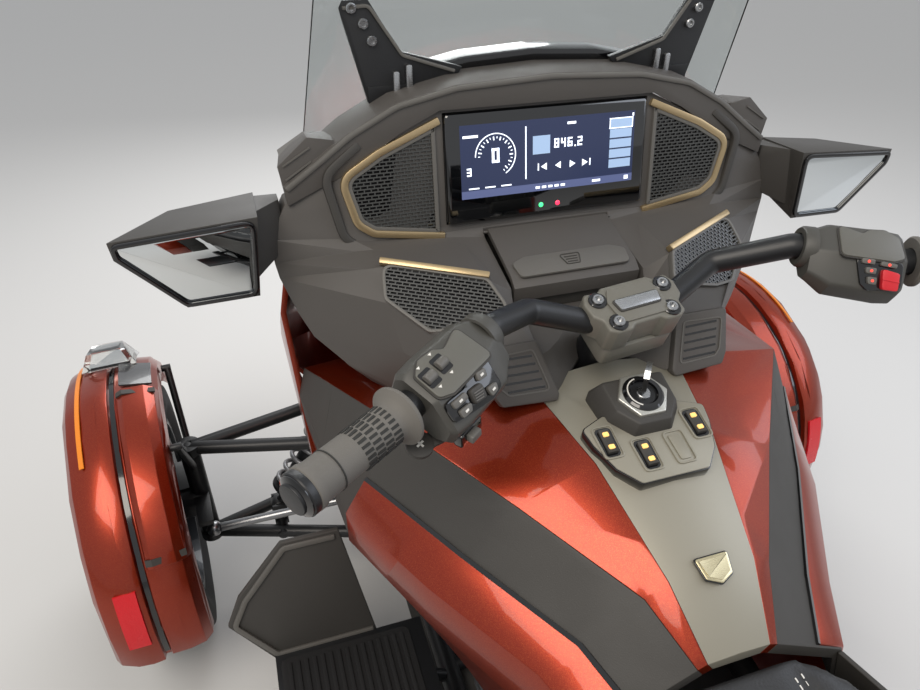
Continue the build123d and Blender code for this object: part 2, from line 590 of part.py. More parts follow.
# Cockpit: the dash as a net of (x, y, z) points, rows from the top down, each from the middle outward
dash_net = [
    [(0, 607, 1193), (146, 606, 1190), (195, 604, 1167), (239, 600, 1140), (272, 600, 1121), (341, 606, 1092)],
    [(0, 591, 1085), (133, 591, 1085), (200, 591, 1085), (262, 591, 1085), (282, 593, 1085), (354, 603, 1070)],
    [(0, 584, 1040), (133, 584, 1038), (200, 583, 1038), (249, 582, 1041), (268, 584, 1046), (363, 600, 1050)],
    [(0, 577, 1034), (97, 575, 1029), (126, 556, 1031), (244, 562, 1038), (264, 568, 1036), (364, 596, 1020)],
    [(0, 484, 1000), (97, 474, 1006), (126, 469, 1026), (242, 521, 1035), (262, 530, 1030), (361, 593, 1000)],
    [(0, 474, 975), (97, 462, 985), (110, 431, 1001), (206, 438, 985), (248, 486, 1006), (345, 575, 955)],
    [(0, 450, 950), (73, 400, 975), (95, 392, 979), (160, 392, 976), (232, 470, 940), (330, 560, 925)],
    [(0, 430, 935), (73, 361, 925), (79, 357, 930), (148, 356, 940), (216, 462, 880), (297, 530, 898)],
    [(0, 430, 926), (73, 397, 921), (79, 398, 925), (148, 398, 930), (217, 463, 876), (294, 528, 894)],
    [(0, 430, 880), (73, 400, 880), (79, 402, 880), (148, 402, 872), (222, 468, 862), (266, 515, 870)],
]
DASH_BACK = 640
dash = backed(dash_net, DASH_BACK)
GLOVE_X = 92
GLOVE_LOW = 905
dash -= block((-GLOVE_X, GLOVE_X), (482, 598), (GLOVE_LOW, 1030))
dash -= block((-GLOVE_X, GLOVE_X), (380, 482), (GLOVE_LOW + 60, 1060))
dash -= block((-GLOVE_X, GLOVE_X), (380, 583), (1000, 1060))
dash -= rod(on_axis(700), on_axis(1100), HEAD_R + SEAM)
SCREEN_W, SCREEN_H = 282, 140
SCREEN_T = 22
SCREEN_TILT = 10
screen_place = Pos(0, 599, 1116) * Rot(-SCREEN_TILT, 0, 0)
dash -= screen_place * Pos(0, -SCREEN_T / 2, 0) * Box(SCREEN_W + 2 * SEAM, 2 * SCREEN_T + 2 * SEAM, SCREEN_H + 2 * SEAM)
save("display", screen_place * Box(SCREEN_W, SCREEN_T, SCREEN_H))
GLOVE_AXIS_Y, GLOVE_AXIS_Z = 577, 1034
for side in (-1, 1):
    dash += rod((side * (GLOVE_X + 1), GLOVE_AXIS_Y, GLOVE_AXIS_Z), (side * (GLOVE_X - 11), GLOVE_AXIS_Y, GLOVE_AXIS_Z), 2)
save("dash", dash)

glove = side_prism([(486, GLOVE_LOW + SEAM), (486, 994), (598 - SEAM, 1024), (598 - SEAM, GLOVE_LOW + SEAM)],
                   (-GLOVE_X + SEAM, GLOVE_X - SEAM))
glove -= side_prism([(490, GLOVE_LOW + TUB), (490, 1040), (594, 1040), (594, GLOVE_LOW + TUB)],
                    (-GLOVE_X + TUB, GLOVE_X - TUB))
save("glovebox", glove)
lid_outline = [(476, 984), (474, 1004), (488, 1014), (576, 1038), (576, 1031), (490, 1007), (482, 1000), (482, 984)]
glove_lid = side_prism(lid_outline, (-GLOVE_X + LID_GAP, GLOVE_X - LID_GAP))
barrel = rod((-GLOVE_X + LID_GAP, GLOVE_AXIS_Y, GLOVE_AXIS_Z), (GLOVE_X - LID_GAP, GLOVE_AXIS_Y, GLOVE_AXIS_Z), 4)
glove_pins = rod((-GLOVE_X, GLOVE_AXIS_Y, GLOVE_AXIS_Z), (-GLOVE_X + 12, GLOVE_AXIS_Y, GLOVE_AXIS_Z), 2 + RUN_FIT)
save("glovebox_lid", glove_lid + barrel - glove_pins - mirror(glove_pins, about=Plane.YZ))

# Visor: an arch of (x, z) points over the dash, and a stepped block at each end
arch_low = [(0, 1194), (146, 1191), (195, 1168), (239, 1140), (272, 1121), (338, 1092)]
arch_top = [(0, 1226), (125, 1220), (200, 1204), (258, 1174), (300, 1144), (340, 1116)]
VISOR_Y = (599, 668)


def arch(lift=0.0):
    """Outline of the visor's arch, its underside lifted a little."""
    return whole(arch_top + [(x, z + lift) for x, z in reversed(arch_low)])


visor = front_prism(arch(SEAM), VISOR_Y)
step = loft([
    face_at([(270, 605, 1128), (338, 605, 1096), (344, 605, 1140), (306, 605, 1172), (276, 605, 1166)]),
    face_at([(266, 664, 1134), (336, 664, 1104), (336, 664, 1140), (304, 664, 1160), (272, 664, 1158)]),
], ruled=True)
visor += both(step)
save("visor", visor - dash)


# Middle body: half outlines (x, z) at each y; the points part the panels
MID_FRONT = 387.7
mid_sections = {
    640: [(0, 850), (100, 845), (345, 820), (358, 772), (354, 717), (335, 560)],
    MID_FRONT: [(0, 936), (100, 925), (262, 900), (330, 772), (330, 717), (235, 560)],
    255: [(0, 918), (74, 908), (162, 868), (262, 770), (264, 705), (200, 548)],
    130: [(0, 862), (50, 856), (74, 838), (180, 758), (190, 694), (165, 536)],
    66: [(0, 808), (36, 806), (46, 801), (150, 740), (165, 690), (150, 530)],
}


def mid_panel(first, last, thick=PANEL):
    """Left-hand panel between two of the parting points, right along the body."""
    faces = []
    for y, half in mid_sections.items():
        run = half[first:last + 1]
        (x0, z0), (x1, z1) = run[0], run[1]
        length = hypot(x1 - x0, z1 - z0)
        run = [(x0 + (x1 - x0) / length * SEAM, z0 + (z1 - z0) / length * SEAM)] + run[1:]
        inner = [(max(x - thick * 0.7, 0.01), z - thick) for x, z in reversed(run)]
        faces.append(face_at([(-x, y, z) for x, z in run + inner]))
    return loft(faces, ruled=True)


console_faces = []
for y, half in mid_sections.items():
    (x0, z0), (x1, z1) = half[0], half[1]
    under = (x1 - 0.7 * PANEL, z1 - PANEL)
    if y <= MID_FRONT:
        console_faces.append(face_at([(x, y, z) for x, z in whole([(x0, z0), (x1, z1), under, (0, z1 - PANEL)])]))
save("console", loft(console_faces, ruled=True) - dash)
under_dash = mid_panel(1, 2) - dash
save("console_sides", pair(under_dash.solids().sort_by(SortBy.VOLUME)[-1]))
save("tank_sides", pair(mid_panel(2, 4)))
save("lower_sides", pair(mid_panel(4, 5)))

SIDE_T = 7
seat_side_sections = {
    66 - SEAM: [(150, 740), (165, 690), (150, 530)],
    -110: [(192, 745), (203, 690), (195, 500)],
    -350: [(192, 735), (203, 690), (198, 520)],
    -592: [(192, 745), (207, 690), (204, 560)],
}
seat_side = loft([face_at([(-x, y, z) for x, z in run] + [(SIDE_T - x, y, z) for x, z in reversed(run)])
                  for y, run in seat_side_sections.items()], ruled=True)
save("seat_sides", pair(seat_side))


# Seat, backrest and luggage

seat_outline = [(60, 800), (0, 770), (-140, 755), (-330, 765), (-420, 800), (-450, 850), (-520, 866), (-780, 862),
                (-800, 800), (-780, 700), (-400, 680), (40, 690)]
seat_plan = [(0, 66), (60, 64), (120, 20), (150, -60), (170, -200), (170, -810), (0, -810)]
seat = side_prism(seat_outline, (-170, 170)) & plan_prism(whole(seat_plan), (600, 900))
save("seat", seat)
back_post = block((-30, 30), (-860, -845), (682 + 12 + SEAM, 1000))
save("backrest", block((-165, 165), (-845, -785), (905, 1140)) + back_post)

CASE_IN, CASE_PART, CASE_OUT = 225, 330, 450
CASE_Y = (-1330, -600)
CASE_Z = (420, 740)
WALL = 5


def case_half(x_open, x_shut):
    """Left half shell of a side case, open towards x_open."""
    low, high = sorted((x_open, x_shut))
    outline = [(CASE_Y[0], CASE_Z[0] + 60), (CASE_Y[0] + 80, CASE_Z[0]), (CASE_Y[1] - 90, CASE_Z[0]),
               (CASE_Y[1], CASE_Z[0] + 130), (CASE_Y[1] - 40, CASE_Z[1]), (CASE_Y[0] + 60, CASE_Z[1]),
               (CASE_Y[0], CASE_Z[1] - 80)]
    mid_y = sum(CASE_Y) / 2
    mid_z = sum(CASE_Z) / 2
    inner = [(mid_y + (y - mid_y) * 0.984, mid_z + (z - mid_z) * 0.966) for y, z in outline]
    shell = side_prism(outline, (-high, -low))
    way = 1 if x_shut > x_open else -1
    cut = sorted((x_open - way * 10, x_shut - way * WALL))
    return shell - side_prism(inner, (-cut[1], -cut[0]))


tub_half = case_half(CASE_PART - LID_GAP / 2, CASE_IN)
CASE_AXIS = (-CASE_PART, 0, CASE_Z[0] - 7)
CASE_HINGES = (-1130, -790)
LUG_TOP = CASE_AXIS[2] + PIN_R + 1.5     # under the lid's lower edge as it swings
case_pins, case_barrels = hinge(CASE_AXIS, "Y", CASE_HINGES)
for y, pin in zip(CASE_HINGES, case_pins):
    tub_half += pin
    for way in (-1, 1):
        lug = y + way * 30
        tub_half += block((-CASE_PART - 4, -CASE_PART + 14), (lug - 3, lug + 3), (CASE_AXIS[2] - 5, CASE_Z[0] + 1))
    tub_half -= block((-CASE_PART - 5, -CASE_PART + LID_GAP / 2), (y - 40, y + 40), (LUG_TOP, CASE_Z[0] + 2))
save("side_cases", pair(tub_half))
lid_half = case_half(CASE_PART + LID_GAP / 2, CASE_OUT)
for y, barrel in zip(CASE_HINGES, case_barrels):
    lid_half += barrel + block((-CASE_PART - 16, -CASE_PART - 3), (y - 20, y + 20), (CASE_AXIS[2] - 3, CASE_Z[0] + 1))
lid_half -= bore(CASE_AXIS, "Y")
save("side_case_lid_left", lid_half)
save("side_case_lid_right", mirror(lid_half, about=Plane.YZ))

TOP_X = 275
TOP_Y = (TAIL_Y, -950)
TOP_SPLIT = 930
top_tub = loft([
    face_at([(-TOP_X + 40, TOP_Y[0] + 90, TOP_LOW), (TOP_X - 40, TOP_Y[0] + 90, TOP_LOW), (TOP_X - 40, TOP_Y[1], TOP_LOW),
             (-TOP_X + 40, TOP_Y[1], TOP_LOW)]),
    face_at([(-TOP_X, TOP_Y[0], TOP_SPLIT - LID_GAP), (TOP_X, TOP_Y[0], TOP_SPLIT - LID_GAP),
             (TOP_X, TOP_Y[1], TOP_SPLIT - LID_GAP), (-TOP_X, TOP_Y[1], TOP_SPLIT - LID_GAP)]),
])
top_tub -= loft([
    face_at([(-TOP_X + 46, TOP_Y[0] + 96, TOP_LOW + WALL), (TOP_X - 46, TOP_Y[0] + 96, TOP_LOW + WALL),
             (TOP_X - 46, TOP_Y[1] - WALL, TOP_LOW + WALL), (-TOP_X + 46, TOP_Y[1] - WALL, TOP_LOW + WALL)]),
    face_at([(-TOP_X + WALL, TOP_Y[0] + WALL, TOP_SPLIT), (TOP_X - WALL, TOP_Y[0] + WALL, TOP_SPLIT),
             (TOP_X - WALL, TOP_Y[1] - WALL, TOP_SPLIT), (-TOP_X + WALL, TOP_Y[1] - WALL, TOP_SPLIT)]),
])
TOP_AXIS = (0, TOP_Y[1] + 6, TOP_SPLIT - 2)
TOP_HINGES = (-150, 150)
top_pins, top_barrels = hinge(TOP_AXIS, "X", TOP_HINGES)
for x, pin in zip(TOP_HINGES, top_pins):
    top_tub += pin
    for way in (-1, 1):
        lug = x + way * 30
        top_tub += block((lug - 3, lug + 3), (TOP_Y[1] - 2, TOP_Y[1] + 9), (TOP_SPLIT - 16, TOP_SPLIT - LID_GAP))
        top_tub += block((lug - 3, lug + 3), (TOP_Y[1] + 2, TOP_Y[1] + 9), (TOP_SPLIT - 16, TOP_SPLIT + 2))
save("top_case", top_tub)
top_lid = loft([
    face_at([(-TOP_X, TOP_Y[0], TOP_SPLIT), (TOP_X, TOP_Y[0], TOP_SPLIT), (TOP_X, TOP_Y[1], TOP_SPLIT),
             (-TOP_X, TOP_Y[1], TOP_SPLIT)]),
    face_at([(-TOP_X + 50, TOP_Y[0] + 70, 1095), (TOP_X - 50, TOP_Y[0] + 70, 1095), (TOP_X - 50, TOP_Y[1] - 90, 1095),
             (-TOP_X + 50, TOP_Y[1] - 90, 1095)]),
])
top_lid -= loft([
    face_at([(-TOP_X + WALL, TOP_Y[0] + WALL, TOP_SPLIT - 1), (TOP_X - WALL, TOP_Y[0] + WALL, TOP_SPLIT - 1),
             (TOP_X - WALL, TOP_Y[1] - WALL, TOP_SPLIT - 1), (-TOP_X + WALL, TOP_Y[1] - WALL, TOP_SPLIT - 1)]),
    face_at([(-TOP_X + 56, TOP_Y[0] + 76, 1089), (TOP_X - 56, TOP_Y[0] + 76, 1089), (TOP_X - 56, TOP_Y[1] - 96, 1089),
             (-TOP_X + 56, TOP_Y[1] - 96, 1089)]),
])
for x, barrel in zip(TOP_HINGES, top_barrels):
    top_lid += barrel + block((x - 20, x + 20), (TOP_Y[1] - 2, TOP_Y[1] + 8), (TOP_SPLIT, TOP_SPLIT + 8))
save("top_case_lid", top_lid - bore(TOP_AXIS, "X"))
TAIL_X = CASE_IN - SEAM


def tail_shape(by):
    """Tail body between the cases, drawn in by a wall."""
    return loft([
        face_at([(-150 + by, -600, 640), (150 - by, -600, 640), (130 - by, -600, 750 - by), (-130 + by, -600, 750 - by)]),
        face_at([(-TAIL_X + by, -860, 610), (TAIL_X - by, -860, 610), (TAIL_X - by, -860, 772 - by),
                 (-TAIL_X + by, -860, 772 - by)]),
        face_at([(-TAIL_X + by, -1380 + by, 610), (TAIL_X - by, -1380 + by, 610),
                 (TAIL_X - 20 - by, -1380 + by, 772 - by), (-TAIL_X + 20 + by, -1380 + by, 772 - by)]),
    ], ruled=True)


tail = tail_shape(0) - tail_shape(6)
tail -= block((-170, 170), (-860, -580), (600, 900))
for side in (-1, 1):
    for y in (-1000, -1280):
        tail -= rod((side * SPINE_X, y, 690), (side * SPINE_X, y, 800), 10 + SEAM)
save("tail_body", tail)
save("tail_lamps", pair(block((-195, -110), (-1394, -1380 - SEAM), (650, 720))))

pipe = tube([(290, -660, 290), (236, -330, 232), (232, -60, 232), (ENGINE_X[1] + SEAM + 14, 60, 300)], 24)
save("muffler", rod((290, -640, 290), (290, -1280, 330), 62) + pipe - block((-200, ENGINE_X[1] + SEAM), (0, 200), (200, 400)))


# Screen, mirrors, handlebar and boards

SHIELD_T = 4
shield_front = [(0, 772), (150, 754), (250, 720), (304, 684)]
shield_back = [(0, 640), (140, 626), (220, 598), (262, 560)]


def shield_edge(line, z):
    """Cut through the screen's sheet at one height."""
    return face_at([(x, y, z) for x, y in whole(line + [(x, y + SHIELD_T) for x, y in reversed(line)])])


shield = loft([shield_edge(shield_front, 1140), shield_edge(shield_back, TOP_Z)], ruled=True)
save("windshield", shield)
arm_plate = front_prism([(-252, 1308), (-216, 1308), (-180, 1250), (-102, 1228), (-112, 1214), (-150, 1208),
                         (-200, 1196), (-222, 1192), (-228, 1215)], (648, 656))
arm_plate += rod((-234, 652, 1298), (-234, 700, 1298), 7)
arm_plate += block((-222, -110), (646, 658), (1150, 1212)) - front_prism(arch(), (500, 800))
arm_plate -= shield
arm_plate -= visor
save("windshield_arms", pair(arm_plate.solids().sort_by(SortBy.VOLUME)[-1]))

MIRROR_Y = 552
mirror_front = [(-388, 1002), (-472, 1000), (-536, 1072), (-538, 1094), (-376, 1104)]
mirror_back = [(-384, 1026), (-440, 1028), (-478, 1070), (-478, 1086), (-376, 1098)]
mirror_pod = loft([
    face_at([(x, MIRROR_Y, z) for x, z in mirror_front]),
    face_at([(x, MIRROR_Y + 90, z) for x, z in mirror_back]),
])
mirror_pod += loft([
    face_at([(-395, 560, 1014), (-395, 636, 1030), (-395, 636, 1096), (-395, 560, 1100)]),
    face_at([(-348, 606, 1034), (-348, 639, 1034), (-348, 639, 1094), (-348, 606, 1100)]),
], ruled=True)
save("mirrors", pair(mirror_pod - dash))

BAR_R = 14
bar_points = [(-55, 358, 1028), (-120, 372, 1052), (-188, 323, 1081), (-298, 262, 1064), (-408, 201, 1066)]


def half_bar(r):
    """Left half of the handlebar tube."""
    return tube([(0, 356, 1026)] + bar_points, r, bend=24)


bar_hole = half_bar(BAR_R + SEAM)
save("handlebar", park_bar(both(half_bar(BAR_R))))
clamp = Pos(0, 352, 1026) * Rot(20, 0, 0) * Box(118, 62, 46)
clamp += Pos(0, 366, 998) * Rot(20, 0, 0) * Box(90, 70, 24)
clamp += rod(on_axis(870), on_axis(1000), STEM_R)
clamp -= bar_hole
save("handlebar_clamp", park_bar(clamp - mirror(bar_hole, about=Plane.YZ)))
collar, flange, tip = Vector(-188, 323, 1081), Vector(-298, 262, 1064), Vector(-408, 201, 1066)
HOUSING = (56, 82, 104)     # outward, across and along the bar
housing_out = Vector(0, -0.45, 0.9)
housing_plane = Plane(origin=(collar + flange) / 2, x_dir=housing_out - (flange - collar).normalized()
                      * housing_out.dot((flange - collar).normalized()), z_dir=flange - collar)
housing = housing_plane * Pos(-4, -9, 0) * Box(*HOUSING)
save("switch_housings", park_bar(pair((housing - bar_hole).solids().sort_by(SortBy.VOLUME)[-1])))
grip_start = flange + (tip - flange) * 0.1
grip = rod(tuple(grip_start), tuple(tip), 19)
save("grips", park_bar(pair(grip - bar_hole)))

board = block((-470, -210), (90, 530), (288, 300))
for y in (220, 480):
    board += rod((-RAIL_X, y, RAIL_Z), (-360, y, 282), 12)
board -= rod((-RAIL_X, 640, RAIL_Z), (-RAIL_X, 0, RAIL_Z), RAIL_R + SEAM)
board -= block((-160, 0), (0, 640), (0, 400))
save("footboards", pair(board))
DEFLECT_RISE = 3      # height gained per millimetre forward


def deflector_sheet(back):
    """Foot deflector's outline on its sloping sheet, set back by a distance."""
    outline = [(-290, 290), (-470, 290), (-535, 372), (-510, 420), (-428, 500), (-330, 500)]
    return face_at([(x, 530 + SEAM + back + (z - 290) / DEFLECT_RISE, z) for x, z in outline])


save("foot_deflectors", pair(loft([deflector_sheet(0), deflector_sheet(8)], ruled=True)))
for name, side in (("left", -1), ("right", 1)):
    step = block((-390, -STEP_X - 4), STEP_Y, (STEP_Z - 7, STEP_Z + 7))
    step += rod((-STEP_X, STEP_Y[0], STEP_Z), (-STEP_X, STEP_Y[1], STEP_Z), 10)
    step -= rod((-STEP_X, STEP_Y[0] - 9, STEP_Z), (-STEP_X, STEP_Y[1] + 9, STEP_Z), 5 + RUN_FIT)
    save(f"passenger_board_{name}", step if side < 0 else mirror(step, about=Plane.YZ))
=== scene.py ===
"""Touring motor trike: finishes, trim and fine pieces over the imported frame.

Metres, in the frame's own axes: X is the rider's right, Y is forward, Z is up.
"""

import logging
import math
from dataclasses import dataclass, field
from enum import Enum
from typing import Iterable, Optional, Sequence

import bmesh
import bpy
from mathutils import Matrix, Vector
from mathutils.bvhtree import BVHTree
from mathutils.kdtree import KDTree


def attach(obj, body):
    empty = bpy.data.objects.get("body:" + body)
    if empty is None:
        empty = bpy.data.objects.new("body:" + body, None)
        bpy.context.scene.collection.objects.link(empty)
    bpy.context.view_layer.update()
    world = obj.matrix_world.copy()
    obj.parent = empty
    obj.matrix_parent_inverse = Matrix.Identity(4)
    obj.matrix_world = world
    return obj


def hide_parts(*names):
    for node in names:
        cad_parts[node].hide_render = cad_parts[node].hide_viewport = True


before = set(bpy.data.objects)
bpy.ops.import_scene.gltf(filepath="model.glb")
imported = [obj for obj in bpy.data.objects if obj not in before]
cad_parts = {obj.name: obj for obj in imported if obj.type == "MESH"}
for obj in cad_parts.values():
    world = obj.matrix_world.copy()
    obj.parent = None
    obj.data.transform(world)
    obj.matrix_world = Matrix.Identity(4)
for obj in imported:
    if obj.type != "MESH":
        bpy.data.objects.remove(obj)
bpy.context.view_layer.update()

logging.basicConfig(level=logging.INFO, format="%(message)s")
log = logging.getLogger("trike")

MM = 0.001
Point = tuple[float, float, float]
Flat = tuple[float, float]
Piece = bpy.types.Object
Tree = bpy.types.NodeTree
Node = bpy.types.Node
Socket = bpy.types.NodeSocket

# Steering, as the frame is built
HEAD = Vector((0, 0.359, 1.066))
RAKE = math.radians(22.6)
PARK_BAR = math.radians(6)
PARK_WHEEL = math.radians(5.1)
STEER_AXIS = Vector((0, -math.sin(RAKE), math.cos(RAKE)))
KINGPIN_X = 0.585
AXLE_F_Y = 0.966
TYRE_F_R = 0.281
TRACK_HALF = 0.692
AXLE_R = Vector((0, -0.748, 0.303))


class Side(Enum):
    """Left or right of the rider."""

    LEFT = -1
    RIGHT = 1

    @property
    def word(self) -> str:
        """The side's name, as the nodes spell it."""
        return self.name.lower()


class Body(str, Enum):
    """Moving bodies of the frame."""

    CHASSIS = "chassis"
    STEERING = "steering"
    TIE_RODS = "tie_rods"
    HOOD = "hood"
    GLOVEBOX = "glovebox_lid"
    TOP_LID = "top_case_lid"
    WHEEL_REAR = "wheel_rear"


def linear(code: str) -> tuple[float, float, float, float]:
    """Turn an sRGB hex colour to linear.

    Args:
        code: Six hex digits.

    Returns:
        Red, green, blue and an alpha of one.
    """
    values = [int(code[i:i + 2], 16) / 255 for i in (0, 2, 4)]
    turned = [v / 12.92 if v <= 0.04045 else ((v + 0.055) / 1.055) ** 2.4 for v in values]
    return (*turned, 1.0)


def add_node(tree: Tree, kind: str, settings: Optional[dict] = None, links: Optional[dict] = None) -> Node:
    """Add one node with its settings and its incoming links.

    Args:
        tree: Tree that gets the node.
        kind: Blender's name for the node type.
        settings: Values by input name, or by attribute name.
        links: Source sockets by input name.

    Returns:
        The node.
    """
    node = tree.nodes.new(kind)
    for key, value in (settings or {}).items():
        if key in node.inputs.keys():
            node.inputs[key].default_value = value
        else:
            setattr(node, key, value)
    for key, socket in (links or {}).items():
        tree.links.new(socket, node.inputs[key])
    return node


@dataclass(frozen=True)
class Finish:
    """Common ground of every finish: a name, a colour and the shader's plain values."""

    name: str
    colour: str
    roughness: float = 0.5
    metallic: float = 0.0
    ior: float = 1.5
    coat: float = 0.0

    def material(self) -> bpy.types.Material:
        """Make the material, or find it where it is already made.

        Returns:
            The material.
        """
        made = bpy.data.materials.get(self.name)
        if made:
            return made
        made = bpy.data.materials.new(self.name)
        made.use_nodes = True
        shader = made.node_tree.nodes["Principled BSDF"]
        shader.inputs["Base Color"].default_value = linear(self.colour)
        shader.inputs["Roughness"].default_value = self.roughness
        shader.inputs["Metallic"].default_value = self.metallic
        shader.inputs["IOR"].default_value = self.ior
        shader.inputs["Coat Weight"].default_value = self.coat
        made.diffuse_color = linear(self.colour)
        self.pattern(made.node_tree, shader)
        return made

    def pattern(self, tree: Tree, shader: Node) -> None:
        """Add what the plain values can't show. Nothing here."""

    def place(self, tree: Tree) -> Socket:
        """Object coordinates, in metres."""
        return add_node(tree, "ShaderNodeTexCoord").outputs["Object"]

    def blend(self, tree: Tree, shader: Node, other: Sequence[float], mask: Socket, limits: Flat) -> None:
        """Turn the colour to another one where a mask is high.

        Args:
            tree: The material's tree.
            shader: Its Principled shader.
            other: The other colour, linear.
            mask: Socket of the mask.
            limits: Values of the mask where the change begins and ends.
        """
        share = add_node(tree, "ShaderNodeMapRange", {"From Min": limits[0], "From Max": limits[1]},
                         {"Value": mask})
        mix = add_node(tree, "ShaderNodeMix", {"data_type": "RGBA"}, {"Factor": share.outputs["Result"]})
        mix.inputs[6].default_value = linear(self.colour)
        mix.inputs[7].default_value = other
        tree.links.new(mix.outputs[2], shader.inputs["Base Color"])

    def gloss(self, tree: Tree, shader: Node, mask: Socket, low: float, high: float) -> None:
        """Vary the roughness by a mask.

        Args:
            tree: The material's tree.
            shader: Its Principled shader.
            mask: Socket of the mask.
            low: Roughness where the mask is 0.
            high: Roughness where the mask is 1.
        """
        node = add_node(tree, "ShaderNodeMapRange", {"To Min": low, "To Max": high}, {"Value": mask})
        tree.links.new(node.outputs["Result"], shader.inputs["Roughness"])

    def bump(self, tree: Tree, shader: Node, height: Socket, strength: float, depth_mm: float) -> None:
        """Raise the surface by a height.

        Args:
            tree: The material's tree.
            shader: Its Principled shader.
            height: Height socket, from 0 to 1.
            strength: Share of the bump that is used.
            depth_mm: Height of 1, in millimetres.
        """
        node = add_node(tree, "ShaderNodeBump", {"Strength": strength, "Distance": depth_mm * MM},
                        {"Height": height})
        tree.links.new(node.outputs["Normal"], shader.inputs["Normal"])


@dataclass(frozen=True)
class PearlPaint(Finish):
    """Sprayed metallic base under clear lacquer: mica flakes that glint and a deep gloss."""

    flake: str = "AA4A24"
    flake_mm: float = 0.4
    flake_limits: Flat = (0.62, 0.9)
    lacquer_roughness: float = 0.04

    def pattern(self, tree: Tree, shader: Node) -> None:
        """Scatter mica flakes in the base coat.

        Args:
            tree: The material's tree.
            shader: Its Principled shader.
        """
        cells = add_node(tree, "ShaderNodeTexVoronoi", {"Scale": 1 / (self.flake_mm * MM)},
                         {"Vector": self.place(tree)})
        self.blend(tree, shader, linear(self.flake), cells.outputs["Color"], self.flake_limits)
        shader.inputs["Coat Roughness"].default_value = self.lacquer_roughness


@dataclass(frozen=True)
class GrainedPlastic(Finish):
    """Moulded plastic or rubber with the grain of its mould: dull and finely pitted."""

    grain_mm: float = 1.1
    depth_mm: float = 0.12
    strength: float = 0.55
    clouds: float = 22.0

    def pattern(self, tree: Tree, shader: Node) -> None:
        """Pit the surface and break up its gloss.

        Args:
            tree: The material's tree.
            shader: Its Principled shader.
        """
        where = self.place(tree)
        grain = add_node(tree, "ShaderNodeTexVoronoi", {"Scale": 1 / (self.grain_mm * MM)}, {"Vector": where})
        cloud = add_node(tree, "ShaderNodeTexNoise", {"Scale": self.clouds, "Detail": 4.0}, {"Vector": where})
        self.gloss(tree, shader, cloud.outputs["Fac"], self.roughness - 0.06, self.roughness + 0.08)
        self.bump(tree, shader, grain.outputs["Distance"], self.strength, self.depth_mm)


@dataclass(frozen=True)
class BrushedMetal(Finish):
    """Satin-plated or brushed metal: fine lines along one direction that stretch its highlights."""

    line_mm: float = 0.5
    along: Point = (0.04, 1.0, 1.0)

    def pattern(self, tree: Tree, shader: Node) -> None:
        """Draw the brushing.

        Args:
            tree: The material's tree.
            shader: Its Principled shader.
        """
        stretch = add_node(tree, "ShaderNodeMapping", {"Scale": self.along}, {"Vector": self.place(tree)})
        lines = add_node(tree, "ShaderNodeTexNoise", {"Scale": 1 / (self.line_mm * MM), "Detail": 3.0},
                         {"Vector": stretch.outputs["Vector"]})
        self.gloss(tree, shader, lines.outputs["Fac"], max(0.02, self.roughness - 0.08), self.roughness + 0.1)
        self.bump(tree, shader, lines.outputs["Fac"], 0.25, 0.05)


@dataclass(frozen=True)
class CastMetal(Finish):
    """Cast, powder-coated or lacquered surface: a soft orange-peel skin."""

    grain_mm: float = 2.2
    depth_mm: float = 0.25

    def pattern(self, tree: Tree, shader: Node) -> None:
        """Ripple the skin a little.

        Args:
            tree: The material's tree.
            shader: Its Principled shader.
        """
        peel = add_node(tree, "ShaderNodeTexNoise", {"Scale": 1 / (self.grain_mm * MM), "Detail": 2.0},
                        {"Vector": self.place(tree)})
        self.bump(tree, shader, peel.outputs["Fac"], 0.4, self.depth_mm)


@dataclass(frozen=True)
class Leather(Finish):
    """Coated upholstery leather: pebbled grain, worn slightly paler in clouds."""

    grain_mm: float = 2.0
    depth_mm: float = 0.5
    worn: float = 1.5
    clouds: Flat = (0.35, 0.75)

    def pattern(self, tree: Tree, shader: Node) -> None:
        """Pebble the hide and vary its shade.

        Args:
            tree: The material's tree.
            shader: Its Principled shader.
        """
        where = self.place(tree)
        pebble = add_node(tree, "ShaderNodeTexVoronoi", {"Scale": 1 / (self.grain_mm * MM), "feature": "F2"},
                          {"Vector": where})
        shade = add_node(tree, "ShaderNodeTexNoise", {"Scale": 9.0, "Detail": 3.0}, {"Vector": where})
        paler = [min(1, c * self.worn) for c in linear(self.colour)]
        self.blend(tree, shader, paler, shade.outputs["Fac"], self.clouds)
        self.bump(tree, shader, pebble.outputs["Distance"], 0.5, self.depth_mm)


@dataclass(frozen=True)
class ClearPlastic(Finish):
    """Polycarbonate or acrylic: clear, slightly tinted, sharp reflections."""

    transmission: float = 1.0
    waves_mm: float = 30.0

    def pattern(self, tree: Tree, shader: Node) -> None:
        """Let light through, with the faint waviness of a moulded sheet.

        Args:
            tree: The material's tree.
            shader: Its Principled shader.
        """
        shader.inputs["Transmission Weight"].default_value = self.transmission
        wave = add_node(tree, "ShaderNodeTexNoise", {"Scale": 1 / (self.waves_mm * MM), "Detail": 1.0},
                        {"Vector": self.place(tree)})
        self.bump(tree, shader, wave.outputs["Fac"], 0.03, 0.4)


@dataclass(frozen=True)
class Glow(Finish):
    """Lit part of a display or a tell-tale."""

    strength: float = 1.0

    def pattern(self, tree: Tree, shader: Node) -> None:
        """Give off the colour."""
        shader.inputs["Emission Color"].default_value = linear(self.colour)
        shader.inputs["Emission Strength"].default_value = self.strength


@dataclass(frozen=True)
class Mirror(Finish):
    """Silvered mirror glass, with the faint unevenness of a pressed pane."""

    def pattern(self, tree: Tree, shader: Node) -> None:
        """Let the pane waver by a hair."""
        wave = add_node(tree, "ShaderNodeTexNoise", {"Scale": 14.0}, {"Vector": self.place(tree)})
        self.bump(tree, shader, wave.outputs["Fac"], 0.02, 0.5)


